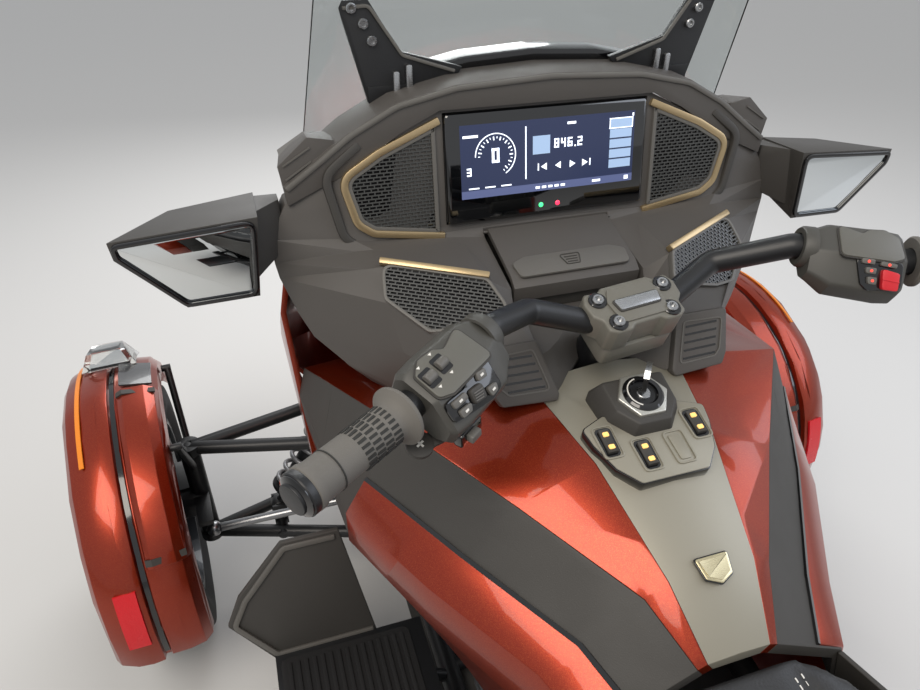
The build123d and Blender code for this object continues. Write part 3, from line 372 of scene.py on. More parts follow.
# Sprayed base coat with mica under clear lacquer: a deep red that glints copper in the light
RED = PearlPaint("copper_red_pearl_paint", "8A2812", 0.3, 0.76, coat=0.42)
# Injection-moulded ABS from an etched mould: dull, with a fine even grain that breaks every highlight
CHARCOAL = GrainedPlastic("charcoal_grained_abs", "4A4744", 0.56)
# Moulded polypropylene, unpainted: darker and duller than the dash, with a coarser grain
DARK = GrainedPlastic("black_grained_polypropylene", "373532", 0.6, grain_mm=1.4)
# Moulded ABS edge pieces: a paler line round recesses and keys
RIM_GREY = GrainedPlastic("grey_soft_edge_abs", "5B5955", 0.5)
# Metallic lacquer sprayed on ABS: a soft warm sheen with no sharp reflection
WARM_GREY = BrushedMetal("warm_grey_satin_lacquer", "918D80", 0.42, 0.35, line_mm=0.8)
# Black ABS lacquered to a gloss: it mirrors the room, with a faint wave
GLOSS_BLACK = CastMetal("gloss_black_lacquered_abs", "0B0B0D", 0.1, coat=0.6, grain_mm=9, depth_mm=0.05)
# Steel and castings coated with baked powder: an even satin black with a trace of orange peel
SATIN_BLACK = CastMetal("satin_black_powder_coat", "17181A", 0.42)
# Satin-nickel plate toned like champagne: stretched, warm highlights
BRONZE = BrushedMetal("champagne_bronze_satin_plate", "B5A07C", 0.34, 0.85)
# Satin chrome on small screws and bezels: bright, with softened reflections
SILVER = BrushedMetal("satin_silver_plate", "B4B5B6", 0.26, 1.0)
# Vacuum-plated bowls of the lamps: nearly a mirror
CHROME = BrushedMetal("bright_chrome_plate", "D4D6D8", 0.08, 1.0, line_mm=3)
# Stainless sheet and rod, brushed along: grey with streaked highlights
STEEL = BrushedMetal("brushed_stainless_steel", "8F9092", 0.3, 1.0)
# Cast wheels under a dark tinted lacquer: a dull metal glow through gloss
ALLOY = CastMetal("dark_cast_aluminium", "2C2E31", 0.34, 0.8, coat=0.4)
# Die-cast cases left bare: pale, rough and a little blotchy
ENGINE = CastMetal("bare_cast_aluminium", "6B6D70", 0.55, 0.9, grain_mm=3)
# Cured tread rubber: black with no shine
TYRE = GrainedPlastic("tyre_rubber", "1A1A1B", 0.82, grain_mm=1.6)
# Soft moulded grip rubber, greyed by use: matt and close-grained
RUBBER = GrainedPlastic("grey_grip_rubber", "625F5A", 0.7, grain_mm=0.9)
# Pressed rubber mats and the belt: deep black, without gloss
BLACK_RUBBER = GrainedPlastic("black_moulded_rubber", "161617", 0.76)
# Hide with an embossed coating: a pebbled, quiet sheen, worn paler in clouds
LEATHER = Leather("black_coated_leather", "1B1B1C", 0.52)
# Sheet polycarbonate, hard-coated and bent: clear with a faint wave
SCREEN_CLEAR = ClearPlastic("clear_polycarbonate", "F2F7F6", 0.02, ior=1.58)
# Moulded acrylic lenses: clear, amber and red, glossy right to their edges
LENS_CLEAR = ClearPlastic("clear_lamp_acrylic", "F4F4F0", 0.05, ior=1.49)
LENS_RED = ClearPlastic("red_lamp_acrylic", "B0161A", 0.12, ior=1.49, transmission=0.4)
# Bonded cover glass over a dark display: black and mirror-smooth
GLASS_BLACK = CastMetal("black_display_glass", "050608", 0.06, coat=1.0, grain_mm=20, depth_mm=0.02)
# Float glass, silvered from behind: a clean reflection
MIRROR = Mirror("silvered_mirror_glass", "DDE2E4", 0.015, 1.0)
# ABS shells of the switch housings, finely etched: dark grey, and paler on the lid
HOUSING_GREY = GrainedPlastic("dark_grey_housing_abs", "42413D", 0.5, grain_mm=0.8, depth_mm=0.05)
LID_GREY = GrainedPlastic("grey_housing_lid_abs", "5A5953", 0.46, grain_mm=0.8, depth_mm=0.04)
# Cast clamp under grey powder: soft edges and a satin skin
CLAMP_GREY = CastMetal("grey_powder_coated_clamp", "66645C", 0.46)
# Pale satin plate of the lock's bezel, and the warmer one of the console's shield
LID_SILVER = BrushedMetal("pale_satin_bezel_plate", "C9C8C0", 0.3, 0.8)
PALE_GOLD = BrushedMetal("pale_gold_satin_plate", "CFC4A0", 0.28, 0.9)
# Rubber of the grip's ribs: darker than its sleeve, without shine
DARK_RUBBER = GrainedPlastic("dark_grip_rubber", "262624", 0.76, grain_mm=0.8)
# Solid red ABS of the stop rocker, smooth from the mould
STOP_RED = GrainedPlastic("red_rocker_abs", "C4202A", 0.38, grain_mm=2.0, depth_mm=0.03)
# Printed marks lit from behind: a weak, even glow
SIGNAL_RED = Glow("lit_red_key_mark", "FF4A3C", 0.4, strength=0.8)
AMBER_MARK = Glow("lit_amber_key_mark", "F0C070", 0.4, strength=0.7)
# Moulded amber strip and red reflector with prisms behind: strong colour, broken by facets
AMBER_STRIP = GrainedPlastic("amber_lamp_strip", "E8861C", 0.3, grain_mm=3, depth_mm=0.05)
REFLECTOR_RED = GrainedPlastic("red_prismatic_reflector", "D01420", 0.25, grain_mm=3.5, depth_mm=0.4)
# Smoked acrylic over an unlit lamp: dark and glossy
LAMP_GREY = CastMetal("smoked_lamp_lens", "3A3B3D", 0.18, coat=0.6, grain_mm=8, depth_mm=0.05)
# Wound spring steel under silver powder: a pale satin coil
SPRING_SILVER = CastMetal("silver_powder_coated_spring", "8D8E90", 0.4, 0.6)
# Waxed polyester thread: white with a slight sheen
THREAD = GrainedPlastic("white_polyester_thread", "D8D6D0", 0.6, grain_mm=0.5)
# Perforated steel sheet under matt paint: a fine dark mesh
DARK_GRILLE = GrainedPlastic("charcoal_speaker_mesh", "3E3F3E", 0.5, grain_mm=0.6, depth_mm=0.05)
# Lit pixels behind the glass, from the dim page to the white figures
PAGE_BLUE = Glow("display_page_blue", "28304C", 0.25, strength=0.4)
DIM_BLUE = Glow("display_dim_blue", "525B80", 0.25, strength=0.45)
PALE_BLUE = Glow("display_pale_blue", "8FA6C4", 0.25, strength=0.65)
WHITE = Glow("display_white", "E9F0FA", 0.25, strength=1.1)


def deselect() -> None:
    """Leave edit mode and select nothing."""
    if bpy.context.mode != "OBJECT":
        bpy.ops.object.mode_set(mode="OBJECT")
    bpy.ops.object.select_all(action="DESELECT")


def only(piece: Piece) -> Piece:
    """Select one object and make it active.

    Args:
        piece: The piece.

    Returns:
        The piece.
    """
    deselect()
    piece.select_set(True)
    bpy.context.view_layer.objects.active = piece
    return piece


def opened(piece: Piece) -> None:
    """Open one object in edit mode, with everything selected."""
    only(piece)
    bpy.ops.object.mode_set(mode="EDIT")
    bpy.ops.mesh.select_all(action="SELECT")


def placed(name: str, mesh: bpy.types.Mesh) -> Piece:
    """Put a mesh into the scene as an object.

    Args:
        name: The object's name.
        mesh: Its mesh.

    Returns:
        The object.
    """
    piece = bpy.data.objects.new(name, mesh)
    bpy.context.scene.collection.objects.link(piece)
    return piece


def settle(piece: Piece) -> Piece:
    """Apply every modifier and the object's place, so that its place is in its mesh.

    Args:
        piece: The piece.

    Returns:
        The piece.
    """
    only(piece)
    for modifier in list(piece.modifiers):
        bpy.ops.object.modifier_apply(modifier=modifier.name)
    bpy.ops.object.transform_apply(location=True, rotation=True, scale=True)
    return piece


def smooth(piece: Piece, degrees: float = 35) -> Piece:
    """Shade smooth, with sharp edges past an angle.

    Args:
        piece: The piece.
        degrees: Smallest angle, in degrees, that stays sharp.

    Returns:
        The piece.
    """
    only(piece)
    bpy.ops.object.shade_smooth_by_angle(angle=math.radians(degrees))
    return piece


def rounded(piece: Piece, width_mm: float, segments: int = 3, angle: float = 30) -> Piece:
    """Round a piece's edges with a bevel, applied.

    Args:
        piece: Mesh to round.
        width_mm: Bevel width.
        segments: Steps across the bevel.
        angle: Smallest fold, in degrees, that is rounded.

    Returns:
        The piece.
    """
    bevel = piece.modifiers.new("round", "BEVEL")
    bevel.width = width_mm * MM
    bevel.segments = segments
    bevel.limit_method = "ANGLE"
    bevel.angle_limit = math.radians(angle)
    bevel.harden_normals = False
    bevel.use_clamp_overlap = True
    return smooth(settle(piece), 40)


def joined(name: str, parts: Sequence[Piece]) -> Piece:
    """Join meshes to one object.

    Args:
        name: The object's name.
        parts: Meshes, used up.

    Returns:
        The joined object.
    """
    only(parts[0])
    for part in parts:
        part.select_set(True)
    if len(parts) > 1:
        bpy.ops.object.join()
    piece = bpy.context.view_layer.objects.active
    piece.name = name
    piece.data.name = name
    return piece


def finish_piece(piece: Piece, finish: Finish, body: str, *nodes: str) -> None:
    """Give a piece its material, its body and the nodes that it stands for.

    Args:
        piece: The mesh.
        finish: Its finish.
        body: Body that carries it.
        nodes: Nodes that it replaces.
    """
    if not piece.data.materials:
        piece.data.materials.append(finish.material())
    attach(piece, str(body.value) if isinstance(body, Body) else body)
    if nodes:
        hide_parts(*nodes)
    log.info("%s: %d faces", piece.name, len(piece.data.polygons))


def fixed(piece: Piece, finish: Finish, *nodes: str) -> None:
    """Finish a piece that the chassis carries."""
    finish_piece(piece, finish, Body.CHASSIS, *nodes)


def drawn(name: str, points: Sequence[Sequence[float]], filled: bool) -> Piece:
    """Add a circle and move its points to their places. It is left in edit mode, all selected.

    Args:
        name: The object's name.
        points: Places in order, in metres.
        filled: Whether the circle has a face.

    Returns:
        The object.
    """
    deselect()
    bpy.ops.mesh.primitive_circle_add(vertices=len(points), fill_type="NGON" if filled else "NOTHING",
                                      calc_uvs=False)
    piece = bpy.context.active_object
    piece.name = name
    piece.data.name = name
    bpy.ops.object.mode_set(mode="EDIT")
    bpy.ops.mesh.select_all(action="SELECT")
    edit = bmesh.from_edit_mesh(piece.data)
    for vertex, point in zip(edit.verts, points):
        vertex.co = point
    return piece


def closed_up(piece: Piece) -> Piece:
    """Merge the points that meet, turn the normals outwards and leave edit mode.

    Args:
        piece: The piece.

    Returns:
        The piece.
    """
    bpy.ops.mesh.select_all(action="SELECT")
    bpy.ops.mesh.remove_doubles(threshold=1e-6)
    bpy.ops.mesh.normals_make_consistent(inside=False)
    bpy.ops.object.mode_set(mode="OBJECT")
    return piece


def lofted(name: str, rings: Sequence[Sequence[Sequence[float]]], caps: bool = True) -> Piece:
    """Extrude a closed ring of points from section to section.

    Args:
        name: The object's name.
        rings: Rings that have as many points each, in metres.
        caps: Whether the first and last ring are filled.

    Returns:
        The object.
    """
    piece = drawn(name, rings[0], caps)
    order = list(range(len(rings[0])))
    for ring in rings[1:]:
        bpy.ops.mesh.extrude_region_move()
        edit = bmesh.from_edit_mesh(piece.data)
        edit.verts.index_update()
        edit.verts.ensure_lookup_table()
        for place, point in enumerate(ring):
            here = edit.verts[order[place]]
            ends = (edge.other_vert(here) for edge in here.link_edges)
            ahead = next(end for end in ends if end.select)
            ahead.co = point
            order[place] = ahead.index
    return closed_up(piece)


def dressed_copy(node: str, width_mm: float, segments: int = 3, dissolve: float = 3) -> Piece:
    """Copy a node's mesh, merge its triangles to faces and round its edges.

    Args:
        node: The node's name.
        width_mm: Rounding of its edges.
        segments: Steps across the rounding.
        dissolve: Folds under this many degrees are merged.

    Returns:
        The copy.
    """
    copy = placed(node + "_skin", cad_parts[node].data.copy())
    copy.data.materials.clear()
    opened(copy)
    bpy.ops.mesh.remove_doubles(threshold=2e-5)
    bpy.ops.mesh.dissolve_limited(angle_limit=math.radians(dissolve))
    bpy.ops.object.mode_set(mode="OBJECT")
    bpy.ops.mesh.customdata_custom_splitnormals_clear()
    return rounded(copy, width_mm, segments, 25)


@dataclass(frozen=True)
class Datum:
    """A local frame, in millimetres, that pieces are drawn in.

    Attributes:
        origin: Its place.
        along: Its first axis.
        out: Its third axis, pointing out of the surface.
    """

    origin: Sequence[float]
    along: Sequence[float]
    out: Sequence[float]

    def matrix(self) -> Matrix:
        """Matrix from local millimetres to metres in the frame.

        Returns:
            The matrix.
        """
        z = Vector(self.out).normalized()
        x = Vector(self.along)
        x = (x - z * x.dot(z)).normalized()
        turn = Matrix((x, z.cross(x), z)).transposed().to_4x4()
        return Matrix.Translation(Vector(self.origin) * MM) @ turn @ Matrix.Scale(MM, 4)

    def moved(self, x: float, y: float, h: float) -> "Datum":
        """The same frame, with its origin at one of its own points."""
        return Datum(self.matrix() @ Vector((x, y, h)) / MM, self.along, self.out)

    def flat(self, point: Point) -> Flat:
        """Where a point, in millimetres, lies on this frame's face."""
        local = self.matrix().inverted() @ (Vector(point) * MM)
        return (local.x, local.y)


def upright(y: float) -> Datum:
    """Upright frame across the vehicle that faces the rider."""
    return Datum((0, y, 0), (1, 0, 0), (0, -1, 0))


def middle_of(corners: Sequence[Flat]) -> Flat:
    """Mean place of some corners."""
    return (sum(x for x, _ in corners) / len(corners), sum(y for _, y in corners) / len(corners))


def rectangle(x0: float, y0: float, x1: float, y1: float) -> list[Flat]:
    """Outline of a rectangle between two opposite corners."""
    return [(x0, y0), (x1, y0), (x1, y1), (x0, y1)]


def arc(radius: float, first: float, step: float, count: int, centre: Flat = (0, 0)) -> list[Flat]:
    """Points round a centre at an even angle.

    Args:
        radius: Their distance from the centre.
        first: Angle of the first, in degrees.
        step: Angle from one to the next.
        count: Number of points.
        centre: The centre.

    Returns:
        The points.
    """
    angles = [math.radians(first + step * i) for i in range(count)]
    return [(centre[0] + radius * math.cos(a), centre[1] + radius * math.sin(a)) for a in angles]


def filleted(line: Sequence[Flat], radius: float, steps: int = 4, closed: bool = True) -> list[Flat]:
    """Round the corners of a line.

    Args:
        line: Its corners.
        radius: Largest radius, less where the sides are short.
        steps: Points on each corner, less one.
        closed: Whether its end joins its start.

    Returns:
        The rounded line.
    """
    made: list[Flat] = []
    count = len(line)
    for i, corner in enumerate(line):
        if not closed and i in (0, count - 1):
            made.append(tuple(corner))
            continue
        here = Vector(corner)
        back = Vector(line[i - 1]) - here
        ahead = Vector(line[(i + 1) % count]) - here
        angle = back.angle(ahead)
        reach = min(radius / math.tan(angle / 2), back.length * 0.48, ahead.length * 0.48)
        start = here + back.normalized() * reach
        end = here + ahead.normalized() * reach
        for k in range(steps + 1):
            t = k / steps
            made.append(tuple(start * (1 - t) ** 2 + here * 2 * t * (1 - t) + end * t ** 2))
    return made


def soft_line(line: Sequence[Flat], radius: float, steps: int = 4) -> list[Flat]:
    """Round the corners of a line with two free ends."""
    return filleted(line, radius, steps, closed=False)


def offset(line: Sequence[Flat], by: float, closed: bool = True) -> list[Flat]:
    """Move a line sideways, with mitred corners.

    Args:
        line: Its points.
        by: Distance to the left of its run.
        closed: Whether its end joins its start.

    Returns:
        The moved line.
    """
    made = []
    count = len(line)
    for i in range(count):
        here = Vector(line[i])
        sides = []
        if closed or i > 0:
            run = (here - Vector(line[i - 1])).normalized()
            sides.append(Vector((-run.y, run.x)))
        if closed or i < count - 1:
            run = (Vector(line[(i + 1) % count]) - here).normalized()
            sides.append(Vector((-run.y, run.x)))
        mitre = sum(sides, Vector((0, 0))).normalized()
        made.append(tuple(here + mitre * by / max(0.4, mitre.dot(sides[0]))))
    return made


def slab(name: str, datum: Datum, outline: Sequence[Flat], low: float, high: float,
         edge: float = 0.0, segments: int = 2) -> Piece:
    """Prism on an outline.

    Args:
        name: Its name.
        datum: Frame that it is drawn in.
        outline: Its outline, in millimetres.
        low: Its foot over the frame's face.
        high: Its top.
        edge: Rounding of its edges.
        segments: Steps across the rounding.

    Returns:
        The piece.
    """
    place = datum.matrix()
    piece = lofted(name, [[place @ Vector((x, y, z)) for x, y in outline] for z in (low, high)])
    return rounded(piece, edge, segments, 40) if edge else smooth(piece, 30)


def rail(name: str, datum: Datum, line: Sequence[Flat], width: float, low: float, high: float,
         closed: bool = True, edge: float = 0.0) -> Piece:
    """Flat bar that follows a line.

    Args:
        name: Its name.
        datum: Frame that it is drawn in.
        line: Its middle line.
        width: Its width.
        low: Its foot over the frame's face.
        high: Its top.
        closed: Whether its end joins its start.
        edge: Rounding of its edges.

    Returns:
        The piece.
    """
    place = datum.matrix()
    left = offset(line, width / 2, closed)
    right = offset(line, -width / 2, closed)
    rings = [[place @ Vector((*a, low)), place @ Vector((*a, high)), place @ Vector((*b, high)),
              place @ Vector((*b, low))] for a, b in zip(left, right)]
    if closed:
        rings.append(rings[0])
    piece = lofted(name, rings, caps=not closed)
    return rounded(piece, edge, 2, 50) if edge else smooth(piece, 30)


def bricks(name: str, datum: Datum, cells: Iterable[Sequence[float]]) -> Piece:
    """Many small square-edged bars, joined in one mesh from arrays.

    Args:
        name: Its name.
        datum: Frame that they are drawn in.
        cells: Low and high ends of each, along the three axes.

    Returns:
        The piece.
    """
    place = datum.matrix()
    points: list[Vector] = []
    faces: list[tuple[int, ...]] = []
    for x0, x1, y0, y1, z0, z1 in cells:
        base = len(points)
        points += [place @ Vector(p) for p in ((x0, y0, z0), (x1, y0, z0), (x1, y1, z0), (x0, y1, z0),
                                               (x0, y0, z1), (x1, y0, z1), (x1, y1, z1), (x0, y1, z1))]
        faces += [tuple(base + i for i in face) for face in
                  ((0, 3, 2, 1), (4, 5, 6, 7), (0, 1, 5, 4), (1, 2, 6, 5), (2, 3, 7, 6), (3, 0, 4, 7))]
    mesh = bpy.data.meshes.new(name)
    mesh.from_pydata(points, [], faces)
    return placed(name, mesh)


def spans(outline: Sequence[Flat], level: float) -> list[tuple[float, float]]:
    """Where a level line runs inside an outline.

    Args:
        outline: The outline.
        level: Height of the line.

    Returns:
        Pairs of ends.
    """
    hits = []
    for (x0, y0), (x1, y1) in zip(outline, [*outline[1:], outline[0]]):
        if (y0 - level) * (y1 - level) < 0:
            hits.append(x0 + (x1 - x0) * (level - y0) / (y1 - y0))
    hits.sort()
    return list(zip(hits[::2], hits[1::2]))


def lattice(name: str, datum: Datum, outline: Sequence[Flat], pitch: float, step: float,
            bar: float, depth: float) -> Piece:
    """Pressed grille: rows of short slots in brick bond, cut to an outline.

    Args:
        name: Its name.
        datum: Frame that it is drawn in.
        outline: Its outline.
        pitch: Distance between rows.
        step: Distance between slots.
        bar: Width of the metal left between slots.
        depth: Thickness.

    Returns:
        The piece.
    """
    low = min(y for _, y in outline)
    high = max(y for _, y in outline)
    cells = []
    rows = int((high - low) / pitch)
    for row in range(rows):
        level = low + (row + 0.5) * pitch
        for x0, x1 in spans(outline, level):
            cells.append((x0, x1, level - bar / 2, level + bar / 2, -depth, 0))
        for x0, x1 in spans(outline, level + pitch / 2):
            first = math.ceil(x0 / step)
            for i in range(first, int(x1 // step) + 1):
                x = (i + 0.5 * (row % 2)) * step
                if x0 < x < x1:
                    post = (x - bar / 2, x + bar / 2, level + bar / 2, level + pitch - bar / 2)
                    cells.append((*post, -depth, -0.2))
    return bricks(name, datum, cells)


def mirrored(piece: Piece, name: str) -> Piece:
    """Copy a piece to the other side of the vehicle.

    Args:
        piece: The piece.
        name: The copy's name.

    Returns:
        The copy.
    """
    copy = placed(name, piece.data.copy())
    copy.data.transform(Matrix.Diagonal((-1, 1, 1, 1)))
    opened(copy)
    bpy.ops.mesh.flip_normals()
    bpy.ops.object.mode_set(mode="OBJECT")
    return copy


def with_mirror(piece: Piece) -> Piece:
    """Join a piece with its mirror image, under its own name."""
    name = piece.name
    return joined(name, [piece, mirrored(piece, name + "_other")])


def pair_of(piece: Piece, finish: Finish) -> None:
    """Finish a right-hand piece of the chassis together with its mirror image, as one object."""
    fixed(with_mirror(piece), finish)


def turned(name: str, datum: Datum, profile: Sequence[Flat], steps: int = 32) -> Piece:
    """Spin a (radius, height) profile about the frame's third axis.

    Args:
        name: Its name.
        datum: Frame that it is drawn in.
        profile: Its profile.
        steps: Sides of the circle.

    Returns:
        The piece.
    """
    place = datum.matrix()
    piece = drawn(name, [place @ Vector((r, 0, h)) for r, h in profile], False)
    bpy.ops.mesh.select_all(action="DESELECT")
    edit = bmesh.from_edit_mesh(piece.data)
    edit.verts.ensure_lookup_table()
    edit.verts[0].select = True
    edit.verts[-1].select = True
    edit.select_flush_mode()
    bpy.ops.mesh.delete(type="EDGE")
    bpy.ops.mesh.select_all(action="SELECT")
    bpy.ops.mesh.spin(steps=steps, angle=2 * math.pi, use_auto_merge=True, center=place.translation,
                      axis=Vector(datum.out).normalized())
    return smooth(closed_up(piece), 35)


def parked(piece: Piece) -> Piece:
    """Turn a piece drawn straight ahead with the handlebar to its parked angle.

    Args:
        piece: The piece.

    Returns:
        The piece.
    """
    turn = Matrix.Translation(HEAD) @ Matrix.Rotation(PARK_BAR, 4, STEER_AXIS) @ Matrix.Translation(-HEAD)
    piece.data.transform(turn)
    return piece


def cap_screw(name: str, datum: Datum, at: Flat, radius: float, foot: float = 0.0) -> Piece:
    """Cap screw with a round head and a sunk socket.

    Args:
        name: Its name.
        datum: Frame that it is drawn in.
        at: Its place on the frame's face.
        radius: Radius of the head.
        foot: Height of its seat.

    Returns:
        The piece.
    """
    shares = [(1, 0.55), (0.85, 0.75), (0.55, 0.75), (0.5, 0.2)]
    head = [(r * radius, h * radius) for r, h in shares]
    profile = [(0.02, -1), (radius, -1), *head, (0.02, 0.2 * radius)]
    return turned(name, datum.moved(*at, foot), profile, 24)


# Faces that the dash's fine parts are drawn on
FASCIA = Datum((0, 606, 1181), (1, 0, 0), (0, -0.988, 0.153))
SCREEN = Datum((0, 588.2, 1117.9), (1, 0, 0), (0, -0.985, 0.174))
LOWER = Datum((126, 469, 1026), (115, 52, 11), (0.190, -0.587, 0.787))
FASCIA_RAISED = FASCIA.moved(0, 0, 3.2)
LOWER_RAISED = LOWER.moved(0, 0, 4.2)


@dataclass
class Display:
    """Wide display: black glass, a lit page with a round gauge, and two tell-tales under it.

    Attributes:
        half: Half width and half height of the lit page, in millimetres.
        centre: Height of its middle over the bezel's middle.
        ink: Height of the marks over the glass.
    """

    half: Flat = (121.8, 45.7)
    centre: float = 8.5
    ink: float = 0.8

    def build(self) -> None:
        """Draw the page in flat tiles by colour."""
        w, h, c = *self.half, self.centre
        page = self.tiles("display_page", [(-w, w, c - h, c + h)], 0.3)
        fixed(page, PAGE_BLUE)
        self.lists(w, h, c)
        self.gauge(c)
        self.figures(c)
        self.tell_tales()

    def tiles(self, name: str, boxes: Sequence[tuple[float, float, float, float]], high: float) -> Piece:
        """Draw flat rectangles on the glass."""
        return bricks(name, SCREEN, [(*box, -0.5, high) for box in boxes])

    def lists(self, w: float, h: float, c: float) -> None:
        """Draw the bars, the row of boxes at the side and the transport marks.

        Args:
            w: Half width of the page.
            h: Half height of the page.
            c: Height of its middle.
        """
        boxes = [(w - 36, w - 4, c + 26 - 13 * i, c + 37 - 13 * i) for i in range(5)]
        boxes.append((-24, 0, c + 2, c + 25))
        fixed(self.tiles("display_boxes", boxes, 0.6), PALE_BLUE)
        fixed(self.tiles("display_foot_bar", [(-w, w, c - h, c - h + 10)], 0.5), DIM_BLUE)
        marks = [(-34.5, -33, c - 28, c + 38), (w - 4, w - 2, c + 39, c + 43), (24, 36, c + 36, c + 39)]
        marks += [(-17, -15.5, c - 19, c - 10), (57, 58.5, c - 19, c - 10)]
        marks += [(w - 37, w - 3, c + 37, c + 38.2), (w - 37, w - 3, c + 24.8, c + 26)]
        marks += [(w - 37, w - 35.8, c + 24.8, c + 38.2), (w - 4.2, w - 3, c + 24.8, c + 38.2)]
        marks += [(-112 + 22 * i, -98 + 22 * i, c - 34, c - 32.4) for i in range(3)]
        marks += [(-20 + 9 * i, -14 + 9 * i, c - 42.5, c - 39.5) for i in range(5)]
        marks += [(62, 74, c - 42, c - 39), (w - 12, w - 6, c - 43, c - 38), (-118, -98, c + 30, c + 33)]
        fixed(self.tiles("display_marks", marks, self.ink), WHITE)
        arrows = []
        for x, way in ((-8, -1), (12, -1), (32, 1), (50, 1)):
            corners = [(x + way * 4.5, c - 14.5), (x - way * 3.5, c - 10), (x - way * 3.5, c - 19)]
            arrows.append(slab("arrow", SCREEN, corners[::way], -0.5, self.ink))
        fixed(joined("display_arrows", arrows), WHITE)

    def gauge(self, c: float) -> None:
        """Draw the round gauge with its ticks.

        Args:
            c: Height of its middle.
        """
        centre = (-75, c + 6)
        ring = arc(27, -60, 6, 41, centre)
        parts = [rail("ring", SCREEN, ring, 1.2, -0.5, self.ink, closed=False)]
        for i in range(21):
            inner, wide = (19, 1.5) if i % 2 else (21, 0.9)
            ends = [arc(r, -60 + 12 * i, 0, 1, centre)[0] for r in (inner, 23.5)]
            parts.append(rail("tick", SCREEN, ends, wide, -0.5, self.ink, closed=False))
        fixed(joined("display_gauge", parts), WHITE)

    def figures(self, c: float) -> None:
        """Draw plain numbers in seven-stroke figures.

        Args:
            c: Height of its middle.
        """
        parts = [self.digit("0", (-80, c - 3), 10, 18, 3.2)]
        for i, mark in enumerate("846"):
            parts.append(self.digit(mark, (6 + 9.5 * i, c + 8), 6.5, 11.5, 1.9))
        parts.append(self.tiles("dot", [(34.6, 36.6, c + 7.4, c + 9.4)], self.ink))
        parts.append(self.digit("2", (39, c + 8), 6.5, 11.5, 1.9))
        parts.append(self.digit("3", (-114, c - 17), 6, 10, 1.8))
        fixed(joined("display_figures", parts), WHITE)

    def digit(self, mark: str, low_left: Flat, width: float, height: float, stroke: float) -> Piece:
        """Draw one figure.

        Args:
            mark: The figure.
            low_left: Its low left corner.
            width: Its width.
            height: Its height.
            stroke: Width of a stroke.

        Returns:
            The figure, as one mesh.
        """
        strokes = {"0": "abcdef", "2": "abged", "3": "abgcd", "4": "fgbc", "6": "afgedc", "8": "abcdefg"}
        x, y = low_left
        mid = y + height / 2
        boxes = {
            "a": (x, x + width, y + height - stroke, y + height), "d": (x, x + width, y, y + stroke),
            "g": (x, x + width, mid - stroke / 2, mid + stroke / 2),
            "f": (x, x + stroke, mid, y + height), "b": (x + width - stroke, x + width, mid, y + height),
            "e": (x, x + stroke, y, mid), "c": (x + width - stroke, x + width, y, mid),
        }
        return self.tiles("digit", [boxes[s] for s in strokes[mark]], self.ink)

    def tell_tales(self) -> None:
        """Set the two small lamps under the page."""
        for name, x, colour in (("green", -12, "3CE07A"), ("red", 12, "FF2E4E")):
            dome = [(0.05, 0.9), (2.2, 0.9), (3.2, 0.2), (3.2, -0.5)]
            lens = turned(f"tell_tale_{name}", SCREEN.moved(x, -56, 0), dome, 16)
            fixed(lens, Glow(f"tell_tale_{name}_lamp", colour, 0.3, strength=2.2))


@dataclass
class Speakers:
    """Upper and lower speakers on each side of the dash, with plated trims.

    Attributes:
        mesh: Row pitch, slot step, bar width and thickness of the grilles.
    """

    mesh: tuple[float, float, float, float] = (4.4, 8.6, 1.5, 1.6)

    def build(self) -> None:
        """Build the right-hand ones and their mirror images."""
        self.upper()
        self.lower()

    def upper(self) -> None:
        """The pair beside the display."""
        edge = [(148, 2), (226, -30), (278, -60), (262, -122), (240, -138), (146, -153)]
        line = soft_line(offset(edge, -5, closed=False), 22, 5)
        trim = rail("speaker_trim_upper", FASCIA, line, 9.5, -3, 6, closed=False, edge=1.6)
        ring = [*edge, (143, -140), (143, -10)]
        face = filleted(offset(ring, -11), 16, 4)
        pair_of(slab("speaker_cavity_upper", FASCIA, face, -1.5, 0.4), GLOSS_BLACK)
        rim = filleted(offset(ring, -11.5), 16, 4)
        pair_of(rail("speaker_frame_upper", FASCIA, rim, 5, -1, 4.4, edge=0.8), RIM_GREY)
        pair_of(lattice("speaker_grille_upper", FASCIA_RAISED, face, *self.mesh), DARK_GRILLE)
        pair_of(trim, BRONZE)
        lip = soft_line([(246, -22), (292, -56), (276, -134), (250, -155), (150, -170), (112, -158)], 26, 5)
        pair_of(rail("fascia_lip", FASCIA, lip, 11, -5, 5, closed=False, edge=2.5), DARK)

    def lower(self) -> None:
        """The pair that faces up between the display and the tank."""
        corners = [(126, 469, 1026), (241, 521, 1037), (247, 486, 1010), (206, 440, 985),
                   (177, 433, 987), (110, 431, 1001)]
        flat = [LOWER.flat(p) for p in corners]
        if sum(a[0] * b[1] - b[0] * a[1] for a, b in zip(flat, flat[1:] + flat[:1])) < 0:
            flat = flat[::-1]
        outer = filleted(flat, 12, 4)
        pair_of(slab("speaker_cavity_lower", LOWER, outer, -6, 1.2), GLOSS_BLACK)
        pair_of(rail("speaker_frame_lower", LOWER, outer, 4, -4, 5.2, edge=0.8), RIM_GREY)
        pair_of(lattice("speaker_grille_lower", LOWER_RAISED, outer, *self.mesh), DARK_GRILLE)
        a, b = LOWER.flat((122, 472, 1028)), LOWER.flat((244, 526, 1039))
        pair_of(rail("speaker_strip_lower", LOWER, [a, b], 8, -2, 8, closed=False, edge=1.6), BRONZE)


